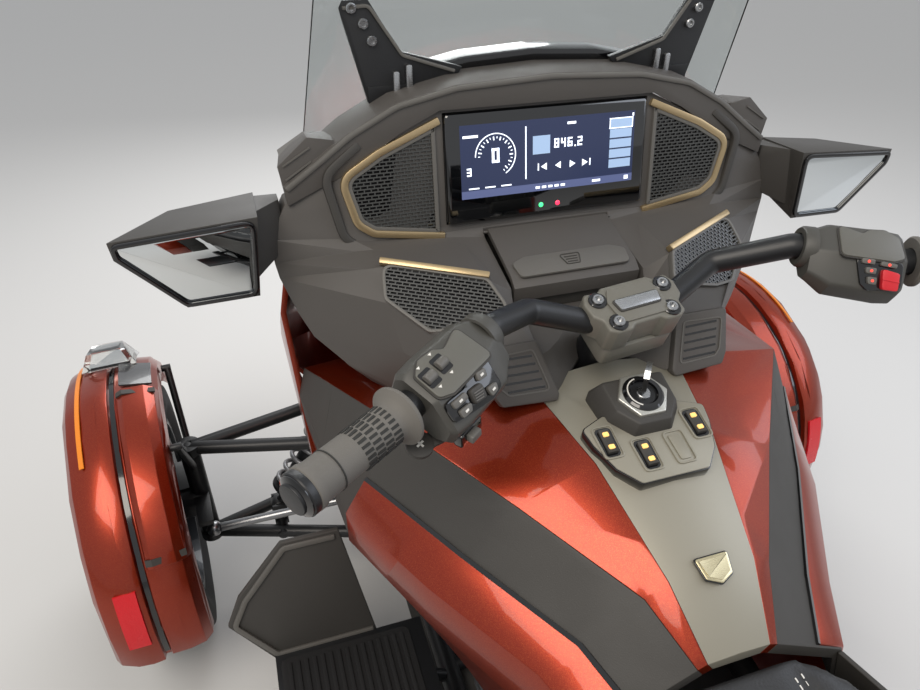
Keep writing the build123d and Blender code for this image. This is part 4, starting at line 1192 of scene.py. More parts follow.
@dataclass
class Vents:
    """Slotted outlets at the foot of the dash."""

    slots: int = 5

    def build(self) -> None:
        """Build the right-hand one and its mirror image."""
        datum = Datum((120, 391, 979), (1, 0, 0), (0, -0.83, 0.56))
        block = filleted([(-42, -70), (-45, -62), (-27, 4), (44, 3), (34, -52), (26, -66)], 5, 3)
        pair_of(slab("vent_block", datum, block, -8, 7, 2.5), CHARCOAL)
        frame_line = filleted([(-34, -56), (-20, -6), (34, -8), (24, -46), (16, -54)], 5, 3)
        pair_of(rail("vent_frame", datum, frame_line, 1.6, 5, 8.2), RIM_GREY)
        bars = []
        for i in range(self.slots):
            y = -14 - 9.5 * i
            left = -18 - 2.6 * i
            right = 26 - 2.2 * i
            slot = [(left, y), (right, y + 1), (right, y + 3.4), (left, y + 2.4)]
            bars.append(slab("slot", datum, slot, 5, 7.5))
        pair_of(joined("vent_slots", bars), GLOSS_BLACK)


@dataclass
class Visor:
    """Fine parts of the visor: its paler rim, the gloss strip behind it and the grooved end blocks."""

    def build(self) -> None:
        """Build rim, strip and grooves."""
        front = upright(599)
        arch = [(-340, 1116), (-300, 1144), (-258, 1174), (-200, 1204), (-125, 1220), (0, 1226), (125, 1220),
                (200, 1204), (258, 1174), (300, 1144), (340, 1116)]
        line = soft_line(offset(arch, -4, closed=False), 60)
        fixed(rail("visor_rim", front, line, 7, -66, 3, closed=False, edge=2.5), RIM_GREY)
        behind = upright(664)
        strip = soft_line([(-150, 1216), (-90, 1228), (0, 1233), (90, 1228), (150, 1216)], 80, 5)
        fixed(rail("visor_gloss_strip", behind, strip, 16, -44, 0, closed=False, edge=5), GLOSS_BLACK)
        block = upright(604.6)
        grooves = []
        for i in range(3):
            z = 1160 - 17 * i
            line = [(338 - 2 * i, z - 20), (304, z)]
            grooves.append(rail("groove", block, line, 1.6, -58, 1.4, closed=False))
        pair_of(joined("block_grooves", grooves), RIM_GREY)


@dataclass
class GloveTrim:
    """Paler front edge of the glovebox lid, with its push mark."""

    def build(self) -> None:
        """Lay the edge and the mark on the lid."""
        top = Datum((0, 532, 1026), (1, 0, 0), (0, -0.26, 0.965))
        edge = filleted([(-76, -52), (76, -52), (80, -26), (60, -17), (-60, -17), (-80, -26)], 8, 4)
        finish_piece(slab("lid_front_edge", top, edge, -1, 3.5, 1.4), RIM_GREY, Body.GLOVEBOX)
        mark = filleted([(-9, -42), (9, -42), (14, -24), (-14, -24)], 3, 3)
        parts = [rail("mark_ring", top, mark, 1.2, 3, 4.4)]
        for i in range(3):
            y = -29 - 4.5 * i
            parts.append(slab("mark_bar", top, rectangle(-9 + i, y - 0.6, 9 - i, y + 0.6), 3, 4.4))
        finish_piece(joined("lid_push_mark", parts), DARK, Body.GLOVEBOX)


def put_on_side(piece: Piece, side: Side) -> Piece:
    """Keep a left-hand piece, or swap it for its mirror image on the right.

    Args:
        piece: The piece.
        side: Which side.

    Returns:
        The piece or its mirror image.
    """
    if side is Side.LEFT:
        return piece
    name = piece.name
    other = mirrored(piece, name + "_right")
    bpy.data.objects.remove(piece)
    other.name = name
    return other


# Left switch housing: its ends on the bar, in millimetres, and the axes along and across it
COLLAR = Vector((-188, 323, 1081))
FLANGE = Vector((-298, 262, 1064))
BAR_WAY = (FLANGE - COLLAR).normalized()
HOUSING_UP = (Vector((0, -0.45, 0.9)) - BAR_WAY * Vector((0, -0.45, 0.9)).dot(BAR_WAY)).normalized()
HOUSING_AHEAD = BAR_WAY.cross(HOUSING_UP)
HOUSING_MID = (COLLAR + FLANGE) / 2


def housing_face(up: float, ahead: float, lean: float) -> Datum:
    """Face of a left switch housing: first axis along the bar, leaning towards the rider by some degrees.

    Args:
        up: Distance out along the housing's upward direction.
        ahead: Distance forward.
        lean: Lean towards the rider, in degrees.

    Returns:
        The face's frame.
    """
    a = math.radians(lean)
    out = HOUSING_UP * math.cos(a) - HOUSING_AHEAD * math.sin(a)
    return Datum(HOUSING_MID + HOUSING_UP * up + HOUSING_AHEAD * ahead, BAR_WAY, out)


@dataclass
class SwitchHousings:
    """Housings at both ends of the bar, with a flat lid and the buttons under the thumb.

    Attributes:
        section: Outline across the bar, in millimetres up and forward.
        rings: Place along the bar and size of each ring of the shell.
    """

    section: tuple[Flat, ...] = ((23, -17), (23, 22), (12, 31), (-22, 31),
                                 (-31, 20), (-31, -34), (-22, -46), (0, -47))
    rings: tuple[Flat, ...] = ((-51, 0.66), (-44, 0.74), (-28, 0.96), (30, 1.0), (46, 0.96), (51, 0.84))

    def build(self) -> None:
        """Build both shells and their controls."""
        for side in Side:
            self.shell(side)
            self.lid(side)
        self.left_controls()
        self.right_controls()

    def fix(self, piece: Piece, finish: Finish, side: Side, *nodes: str) -> None:
        """Finish a piece drawn on the left, on its own side of the parked bar."""
        finish_piece(parked(put_on_side(piece, side)), finish, Body.STEERING, *nodes)

    def shell(self, side: Side) -> None:
        """Loft the shell along the bar, and turn the collar at its inner end.

        Args:
            side: Which side.
        """
        outline = filleted(self.section, 8, 3)
        rings = []
        for along, size in self.rings:
            middle = HOUSING_MID + BAR_WAY * along - HOUSING_AHEAD * 3
            rings.append([(middle + HOUSING_UP * (u * size) + HOUSING_AHEAD * (a * size)) * MM
                          for u, a in outline])
        name = f"switch_shell_{side.word}"
        self.fix(smooth(lofted(name, rings), 28), HOUSING_GREY, side, "switch_housings")
        collar = Datum(HOUSING_MID - BAR_WAY * 58, HOUSING_UP, BAR_WAY)
        profile = [(15, 0), (21, 0), (23, 3), (23.5, 14), (21, 15)]
        self.fix(turned(f"switch_collar_{side.word}", collar, profile), HOUSING_GREY, side)

    def lid(self, side: Side) -> None:
        """Set the paler flat lid on the shell, with a dark line round it.

        Args:
            side: Which side.
        """
        face = housing_face(23, -3, 0)
        outline = filleted([(-22, -20), (4, -12), (12, -19), (30, -21), (44, -12), (45, 16), (32, 22),
                            (-24, 22)], 6, 3)
        self.fix(slab(f"lid_gap_{side.word}", face, offset(outline, -1.6), -1, 0.6), DARK, side)
        self.fix(slab(f"switch_lid_{side.word}", face, outline, -1, 2.2, 0.9), LID_GREY, side)

    def left_controls(self) -> None:
        """Rollers, thumb pad, signal switch and shift paddle."""
        self.rollers(housing_face(25.2, -3, 0))
        self.thumb_pad(housing_face(10, -37, 36))
        self.signal_switch(housing_face(-22, -47, 70))
        below = HOUSING_MID + BAR_WAY * 62 - HOUSING_UP * 34 - HOUSING_AHEAD * 24
        self.paddle(Datum(below, BAR_WAY, HOUSING_UP))

    def rollers(self, top: Datum) -> None:
        """Two rollers in wells on the lid, each between two small marks.

        Args:
            top: Frame of the lid's face.
        """
        barrel = [(0.05, 0), (4.4, 0), (5, 0.8), (5, 10.2), (4.4, 11), (0.05, 11)]
        for i, (x, y) in enumerate(((36, -2), (18, -4))):
            well = filleted(rectangle(x - 7, y - 9, x + 7, y + 9), 2, 2)
            self.fix(slab(f"roller_well_{i}", top, well, -1, 0.4), GLOSS_BLACK, Side.LEFT)
            end = Datum(top.moved(x - 5.5, y, 1).origin, HOUSING_UP, BAR_WAY)
            self.fix(turned(f"roller_{i}", end, barrel, 20), RIM_GREY, Side.LEFT)
            marks = [slab("m", top, [(x - 2, y + w), (x + 2, y + w), (x, y + w + 2.6)], 0, 0.5)
                     for w in (11, -14)]
            self.fix(joined(f"roller_marks_{i}", marks), THREAD, Side.LEFT)

    def thumb_pad(self, pad: Datum) -> None:
        """Pocket under the thumb with four keys and a ribbed stick.

        Args:
            pad: Frame of the pad's face.
        """
        pocket = filleted([(-18, -19), (6, -21), (20, -13), (46, -16), (46, 4), (26, 9), (-2, 15),
                           (-18, 12)], 6, 3)
        self.fix(slab("thumb_pocket", pad, pocket, -2, 2.4, 0.8), GLOSS_BLACK, Side.LEFT)
        keys = {
            "home": [(-12, 3), (1, 1), (0, 11), (-9, 10)],
            "up": [(-9, -15), (3, -17), (5, -9), (-7, -7)],
            "back": [(22, -1), (38, -3), (38, 5), (26, 6)],
            "voice": [(22, -12), (40, -13), (40, -6), (22, -5)],
        }
        for word, corners in keys.items():
            self.fix(slab(f"key_{word}", pad, filleted(corners, 2.4, 3), 1, 5.6, 1.2), RIM_GREY, Side.LEFT)
            x, y = middle_of(corners)
            mark = rectangle(x - 2, y - 1, x + 2, y + 1)
            self.fix(slab(f"key_mark_{word}", pad, mark, 5, 5.9), THREAD, Side.LEFT)
        base = filleted([(3, -8), (19, -10), (21, 4), (5, 7)], 4, 3)
        self.fix(slab("thumb_stick_base", pad, base, 1, 7, 2), DARK, Side.LEFT)
        ribs = []
        for i in range(4):
            x0, x1, up = 6 + 1.2 * i, 17 + 0.6 * i, 2.2 * i
            ribs.append(slab("r", pad, [(x0, up - 4), (x1, up - 6), (x1, up - 5), (x0, up - 3)], 6.5, 7.8))
        self.fix(joined("thumb_stick_ribs", ribs), RIM_GREY, Side.LEFT)

    def signal_switch(self, low: Datum) -> None:
        """Slider of the turn signals, on its base.

        Args:
            low: Frame of the lower face.
        """
        base = filleted(rectangle(10, -8, 42, 9), 4, 3)
        self.fix(slab("signal_base", low, base, -4, 6, 2), GLOSS_BLACK, Side.LEFT)
        slider = filleted(rectangle(20, -4, 34, 5), 2, 3)
        self.fix(slab("signal_slider", low, slider, 5, 13, 1.5), RIM_GREY, Side.LEFT)

    def paddle(self, low: Datum) -> None:
        """Round shift paddle on its arm, with a plain cross.

        Args:
            low: Frame of the lower face.
        """
        self.fix(slab("paddle", low, arc(13, 0, 15, 24), -3, 3, 1.2), DARK, Side.LEFT)
        arm = [(-34, 4), (-4, -6), (0, 8), (-30, 18)]
        self.fix(slab("paddle_arm", low, arm, -3, 2, 1), DARK, Side.LEFT)
        cross = [slab("c", low, rectangle(-x, -y, x, y), 2.8, 3.5) for x, y in ((4, 1), (1, 4))]
        self.fix(joined("paddle_mark", cross), THREAD, Side.LEFT)

    def right_controls(self) -> None:
        """Red engine-stop rocker with small keys beside it, without words."""
        pad = housing_face(10, -37, 36)
        pocket = filleted([(-8, -20), (44, -18), (46, 10), (10, 16), (2, 10)], 6, 3)
        self.fix(slab("stop_pocket", pad, pocket, -2, 2.2, 0.8), GLOSS_BLACK, Side.RIGHT)
        red = filleted([(20, -9), (39, -6), (40, 13), (23, 13)], 3, 3)
        self.fix(slab("stop_rocker", pad, red, 1, 8, 2.2), STOP_RED, Side.RIGHT)
        ridge = [(21.5, 1.4), (39.5, 2.6), (39.5, 4), (21.5, 2.8)]
        self.fix(slab("stop_ridge", pad, ridge, 7.4, 8.8, 0.4), STOP_RED, Side.RIGHT)
        keys = {
            "start": [(6, 1), (17, 1), (17, 9), (8, 9)],
            "hazard": [(3, -9), (15, -9), (15, -2), (4, -2)],
            "mode": [(-3, -18), (12, -18), (12, -12), (-2, -12)],
            "reverse": [(18, -17), (36, -16), (36, -11), (18, -12)],
        }
        for word, corners in keys.items():
            self.fix(slab(f"key_{word}", pad, filleted(corners, 2.2, 3), 1, 6, 1.2), RIM_GREY, Side.RIGHT)
            dot = arc(1.6, 0, 45, 8, middle_of(corners))
            self.fix(slab(f"key_mark_{word}", pad, dot, 5.6, 6.3), SIGNAL_RED, Side.RIGHT)


@dataclass
class Grips:
    """Moulded grips: an inner flange, rows of ribs beside it, and a satin black ring at the end.

    Attributes:
        radius: Radius of the sleeve, in millimetres.
        rows: Rows of ribs along the bar.
        around: Ribs in each row.
    """

    radius: float = 18.6
    rows: int = 4
    around: int = 22

    def build(self) -> None:
        """Build both grips."""
        way = (Vector((-408, 201, 1066)) - FLANGE).normalized()
        datum = Datum(FLANGE, HOUSING_UP, way)
        r = self.radius
        sleeve = [(15, 4), (26, 4), (28, 6), (28, 9), (24, 12), (r + 1, 16), (r, 20), (r - 0.6, 60),
                  (r, 104), (r + 1.5, 107), (r + 1.5, 112), (r, 113.5), (15, 113.5)]
        self.both(turned("grip_sleeve", datum, sleeve, 40), RUBBER, "grips")
        self.both(joined("grip_ribs", self.ribs(way)), DARK_RUBBER)
        line = [(r + 0.2, 86), (r + 0.5, 86.3), (r + 0.5, 87.3), (r + 0.2, 87.6)]
        self.both(turned("grip_line", datum, line, 40), DARK_RUBBER)
        ring = [(14, 113), (19.4, 113), (19.8, 114), (19.8, 119), (19, 120), (14, 120)]
        self.both(turned("grip_ring", datum, ring, 40), SATIN_BLACK)
        cap = [(0.05, 124.5), (10, 124.5), (15, 123), (18.6, 121), (18.6, 119), (0.05, 119)]
        self.both(turned("grip_cap", datum, cap), GLOSS_BLACK)
        cap_ring = [(9, 123.4), (11, 124), (11.6, 125.2), (10.4, 125.6), (8.6, 124.6)]
        self.both(turned("grip_cap_ring", datum, cap_ring), SILVER)

    def ribs(self, way: Vector) -> list[Piece]:
        """Rows of short ribs along a bar's direction, every second row shifted by half a step.

        Args:
            way: Its direction.

        Returns:
            The ribs.
        """
        pads = []
        for row in range(self.rows):
            for step in range(self.around):
                a = math.radians(360 / self.around * (step + 0.5 * (row % 2)))
                out = HOUSING_UP * math.cos(a) + way.cross(HOUSING_UP) * math.sin(a)
                origin = FLANGE + way * (21 + 10.4 * row) + out * self.radius
                pads.append(bricks("pad", Datum(origin, way, out), [(0, 8.4, -1.3, 1.3, -1, 0.9)]))
        return pads

    def both(self, piece: Piece, finish: Finish, *nodes: str) -> None:
        """Finish a left-hand piece with its mirror image, on the parked bar."""
        finish_piece(parked(with_mirror(piece)), finish, Body.STEERING, *nodes)


@dataclass
class Clamp:
    """Bar clamp: an eared cap over a foot, four socket screws in wells, and a bare plate between them."""

    tilt: float = 20.0

    def build(self) -> None:
        """Build cap, foot, stem, screws and plate."""
        a = math.radians(self.tilt)
        face = Datum((0, 352, 1026), (1, 0, 0), (0, -math.sin(a), math.cos(a)))
        right = [(30, 30), (36, 25), (53, 27), (59, 14), (57, -4), (49, -12), (49, -26), (40, -31), (22, -31),
                 (16, -26)]
        cap = filleted([(-30, 30), *right, *[(-x, y) for x, y in reversed(right[1:])]], 5, 3)
        foot = filleted(rectangle(-45, 34, 45, -30), 8, 3)
        parts = [slab("cap", face, cap, -14, 21, 3, 3), slab("foot", face, foot, -42, -14, 3)]
        lean = Datum(HEAD / MM, (1, 0, 0), STEER_AXIS)
        parts.append(turned("stem", lean, [(0.05, -80), (16, -80), (16, -205), (0.05, -205)], 32))
        self.fix(joined("clamp_body", parts), CLAMP_GREY, "handlebar_clamp")
        waist = filleted([(-26, 24), (26, 24), (34, 8), (30, -22), (-30, -22), (-34, 8)], 6, 3)
        self.fix(slab("clamp_waist", face, waist, 20, 23.4, 1.2), CLAMP_GREY)
        well = [(6.5, 0.2), (7, 2.4), (9.6, 2.6), (10.6, 1.6), (10.8, -1)]
        for i, spot in enumerate(((-42, 14), (42, 14), (-34, -19), (34, -19))):
            self.fix(turned(f"screw_well_{i}", face.moved(*spot, 20.6), well, 28), GLOSS_BLACK)
            self.fix(cap_screw(f"clamp_screw_{i}", face, spot, 6.6, 20.8), SILVER)
        plate = filleted([(-25, -8), (25, -8), (28, 6), (-28, 6)], 2.5, 3)
        self.fix(slab("clamp_plate_edge", face, offset(plate, -1.5), 22, 25, 0.6), DARK)
        self.fix(slab("clamp_plate", face, plate, 23, 26.4, 0.8), SILVER)

    def fix(self, piece: Piece, finish: Finish, *nodes: str) -> None:
        """Finish a piece on the parked bar."""
        finish_piece(parked(piece), finish, Body.STEERING, *nodes)


@dataclass
class Console:
    """Ignition lock on its plinth, the switch panel with four rockers, and a bare plate below."""

    def build(self) -> None:
        """Build the three."""
        self.ignition()
        self.panel()
        self.plate()

    def ignition(self) -> None:
        """Six-sided bezel with the lock and its key."""
        base = Datum((0, 306, 924), (1, 0, 0), (0, -0.26, 0.966))
        plinth = filleted([(-24, -40), (24, -40), (46, -14), (48, 34), (-48, 34), (-46, -14)], 5, 3)
        top = [(x * 0.8, y * 0.84 - 1) for x, y in plinth]
        place = base.matrix()
        levels = ((plinth, -16), (plinth, 6), (top, 27))
        rings = [[place @ Vector((x, y, h)) for x, y in ring] for ring, h in levels]
        fixed(rounded(lofted("lock_plinth", rings), 2, 2, 35), DARK)
        fixed(slab("lock_bezel", base, filleted(arc(31, 0, 60, 6), 3, 2), 25, 31, 1.5, 3), LID_SILVER)
        spot = base.moved(0, 0, 30)
        ring = [(15, 0), (15, 2.6), (16.5, 4.6), (21, 4.6), (23.5, 2.4), (24, 0)]
        fixed(turned("lock_ring", spot, ring, 48), GLOSS_BLACK)
        fixed(turned("lock_dial", spot, [(0.05, 1.2), (14, 1.2), (15, 2.4), (15, 0)], 40), SATIN_BLACK)
        fixed(turned("lock_barrel", spot, [(0.05, 4), (7.2, 4), (8, 3.2), (8, 1)]), SILVER)
        fixed(rail("lock_scale", spot, arc(18.8, 100, 10, 15), 1.4, 4, 5.1, closed=False), THREAD)
        key = Datum(base.moved(3, 4, 33).origin, (0.6, 0.8, 0.1), (0.8, -0.6, 0.0))
        blade = [(-4, -4), (4, -4), (4, 8), (11, 12), (13, 27), (7, 34), (-7, 34), (-13, 27), (-11, 12),
                 (-4, 8)]
        fixed(slab("key_head", key, filleted(blade, 3, 3), -2.6, 2.6, 1, 2), BLACK_RUBBER)
        fixed(rail("key_edge", key, soft_line(blade[3:8], 3, 3), 2.2, -3.2, 3.2, closed=False), SILVER)

    def panel(self) -> None:
        """Shallow raised panel that follows the crest, and its rockers."""
        face = Datum((0, 255, 919), (1, 0, 0), (0, -0.25, 0.968))
        right = [(40, -43), (60, -20), (72, 12), (76, 34), (46, 46), (33, 30)]
        outline = filleted([*right, *[(-x, y) for x, y in reversed(right)]], 5, 3)
        fixed(slab("panel_gap", face, offset(outline, -1.3), -14, 0.2, 1), GLOSS_BLACK)
        fixed(slab("switch_panel", face, outline, -14, 1.6, 1), WARM_GREY)
        spots = ((-56, 12, True), (-20, -12, True), (20, -12, False), (54, 12, True))
        for i, (x, y, live) in enumerate(spots):
            rim = filleted([(x - 11, y - 20), (x + 11, y - 20), (x + 12, y + 20), (x - 12, y + 20)], 5, 4)
            fixed(rail(f"rocker_rim_{i}", face, rim, 2, 1, 3.4, edge=0.5), WARM_GREY)
            inner = filleted([(x - 6.5, y - 16), (x + 6.5, y - 16), (x + 7.5, y + 16), (x - 7.5, y + 16)],
                             3, 3)
            if not live:
                fixed(slab(f"rocker_blank_{i}", face, inner, 1, 3.2, 0.8), WARM_GREY)
                continue
            fixed(slab(f"rocker_well_{i}", face, offset(inner, -2.2), 1, 2), GLOSS_BLACK)
            fixed(self.rocker(f"rocker_{i}", face, x, y), DARK)
            marks = [slab("m", face, filleted(rectangle(x - 3.4, y + d - 2.6, x + 3.4, y + d + 2.6), 1.2, 2),
                          4, 6.4) for d in (8, -8)]
            fixed(joined(f"rocker_marks_{i}", marks), AMBER_MARK)

    def rocker(self, name: str, face: Datum, x: float, y: float) -> Piece:
        """Rocker cap, hollow in the middle of its length.

        Args:
            name: Its name.
            face: Frame of the face.
            x: Its place across the face.
            y: Its place up the face.

        Returns:
            The cap.
        """
        place = face.matrix()
        rings = []
        for step in range(-4, 5):
            along = y + 3.6 * step
            high = 4.6 + 1.5 * (step / 4) ** 2
            section = ((-6, 1), (6, 1), (6, high - 0.8), (5, high), (-5, high), (-6, high - 0.8))
            rings.append([place @ Vector((x + dx, along, h)) for dx, h in section])
        return smooth(lofted(name, rings), 40)

    def plate(self) -> None:
        """Bare plated shield."""
        face = Datum((0, 129, 861.5), (1, 0, 0), (0, -0.41, 0.912))
        outline = filleted([(-19, 11), (-15, -10), (0, -17), (15, -10), (19, 11)], 2.5, 3)
        fixed(slab("console_plate_edge", face, offset(outline, -1.2), -1, 2.4, 0.6), GLOSS_BLACK)
        fixed(slab("console_plate", face, outline, 0, 3.4, 0.9), PALE_GOLD)
        fixed(slab("console_plate_step", face, offset(outline, 3), 3, 4.4, 0.7), PALE_GOLD)


@dataclass
class MirrorGlass:
    """Glass and its dark surround on each mirror pod."""

    corners: tuple[Flat, ...] = ((388, 1004), (472, 1002), (534, 1073), (536, 1092), (378, 1102))

    def build(self) -> None:
        """Lay the glass on both pods."""
        face = upright(552)
        outline = filleted(self.corners, 14, 5)
        pair_of(rail("mirror_lip", face, offset(outline, 3), 6, -4, 4.5, edge=1.5), GLOSS_BLACK)
        pair_of(slab("mirror_glass", face, offset(outline, 6.5), -1, 1.4, 0.4), MIRROR)


@dataclass
class ShieldArms:
    """Screws, two bright links and a rib on each windshield arm."""

    def build(self) -> None:
        """Fit screws, links and ribs."""
        face = upright(648)
        screws = [cap_screw("s", face, spot, 6, 0.4) for spot in ((223, 1283), (214, 1264), (236, 1300))]
        pair_of(joined("arm_screws", screws), SILVER)
        links = []
        for x, low, high in ((187, 1172, 1229), (171, 1199, 1236)):
            outline = filleted(rectangle(x - 4, low, x + 4, high), 3.9)
            links.append(slab("l", face, outline, 0, 6, 1))
        pair_of(joined("arm_links", links), SILVER)
        edge = soft_line([(246, 1300), (216, 1302), (178, 1246), (112, 1224)], 10)
        pair_of(rail("arm_rib", face, edge, 4, -1, 3, closed=False, edge=1), RIM_GREY)


def swept_about_axle(name: str, side: Side, outline: Sequence[Flat], first: float, last: float,
                     steps: int = 24) -> Piece:
    """Sweep a section of (x, radius) points about a front axle, at the parked angle.

    Args:
        name: The piece's name.
        side: Which wheel.
        outline: Section, in millimetres from the middle of the vehicle and from the axle.
        first: First angle over the horizon ahead, in degrees.
        last: Last angle.
        steps: Steps of the sweep.

    Returns:
        The piece.
    """
    rings = []
    for k in range(steps + 1):
        a = math.radians(first + (last - first) * k / steps)
        rings.append([(side.value * x * MM, AXLE_F_Y + r * MM * math.cos(a), TYRE_F_R + r * MM * math.sin(a))
                      for x, r in outline])
    return on_knuckle(smooth(lofted(name, rings), 35), side)


def on_knuckle(piece: Piece, side: Side) -> Piece:
    """Turn a piece drawn straight ahead about its kingpin to the parked angle.

    Args:
        piece: The piece.
        side: Which side.

    Returns:
        The piece.
    """
    pin = Vector((side.value * KINGPIN_X, AXLE_F_Y, 0))
    turn = Matrix.Rotation(PARK_WHEEL, 4, "Z")
    piece.data.transform(Matrix.Translation(pin) @ turn @ Matrix.Translation(-pin))
    return piece


@dataclass
class FenderTrim:
    """Reflector, amber strip, dark slot lining, hump bands and lamp insides of the front fenders.

    Attributes:
        lamp_share: Size of a lamp's inside against the lamp.
    """

    lamp_share: float = 0.72

    def build(self) -> None:
        """Trim both fenders."""
        for side in Side:
            self.strips(side)
            self.hump(side)
            self.lamp_inside(side)

    def fix(self, piece: Piece, finish: Finish, side: Side) -> None:
        """Finish a piece that steers with its wheel."""
        finish_piece(piece, finish, f"knuckle_{side.word}")

    def strips(self, side: Side) -> None:
        """Reflector, amber strip and lining of the lamp slot.

        Args:
            side: Which side.
        """
        red = [(704, 336), (740, 334), (741, 337.5), (705, 340)]
        amber = [(741, 333), (749, 330), (749.5, 332.5), (741.5, 335.6)]
        slot = rectangle(684, 322, 693, 326.2)
        word = side.word
        self.fix(swept_about_axle(f"rear_reflector_{word}", side, red, 157, 177), REFLECTOR_RED, side)
        self.fix(swept_about_axle(f"amber_strip_{word}", side, amber, 60, 118), AMBER_STRIP, side)
        self.fix(swept_about_axle(f"slot_lining_{word}", side, slot, 26, 186, 36), GLOSS_BLACK, side)

    def hump(self, side: Side) -> None:
        """Two dark bands across the hump and the smoked lens in front of them.

        Args:
            side: Which side.
        """
        band = [(612, 332), (668, 342.6), (679, 337), (679, 334), (612, 328)]
        for i, first in enumerate((93, 149)):
            piece = swept_about_axle(f"hump_band_{side.word}_{i}", side, band, first, first + 2, 3)
            self.fix(piece, DARK, side)
        lens = [(616, 331), (672, 341.6), (672, 338), (616, 327)]
        self.fix(swept_about_axle(f"hump_lens_{side.word}", side, lens, 75, 90, 8), LAMP_GREY, side)

    def lamp_inside(self, side: Side) -> None:
        """Bright inside of the lamp: its own solid, smaller.

        Args:
            side: Which side.
        """
        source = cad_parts[f"fender_lamp_{side.word}"]
        inner = placed(f"lamp_inside_{side.word}", source.data.copy())
        inner.data.materials.clear()
        middle = sum((v.co for v in inner.data.vertices), Vector()) / len(inner.data.vertices)
        shrink = Matrix.Scale(self.lamp_share, 4)
        inner.data.transform(Matrix.Translation(middle) @ shrink @ Matrix.Translation(-middle))
        self.fix(rounded(inner, 2, 2), CHROME, side)


@dataclass
class Boards:
    """Ribbed rubber on the footboards and the rim of the foot deflectors."""

    def build(self) -> None:
        """Lay the rubber."""
        face = Datum((0, 0, 300), (1, 0, 0), (0, 0, 1))
        mat = filleted([(236, 104), (456, 104), (462, 518), (236, 518)], 14, 4)
        pair_of(slab("board_mat", face, mat, -1, 3, 1), BLACK_RUBBER)
        ribs = [slab("r", face, rectangle(248 + 14 * i, 116, 255 + 14 * i, 506), 2.5, 6, 1)
                for i in range(15)]
        pair_of(joined("board_ribs", ribs), BLACK_RUBBER)
        shield = Datum((0, 530, 290), (1, 0, 0), (0, -0.949, 0.316))
        edge = soft_line([(296, 10), (464, 10), (524, 86), (500, 130), (424, 212), (338, 212)], 12)
        pair_of(rail("deflector_rim", shield, edge, 9, -1, 5, closed=False, edge=1.5), RIM_GREY)


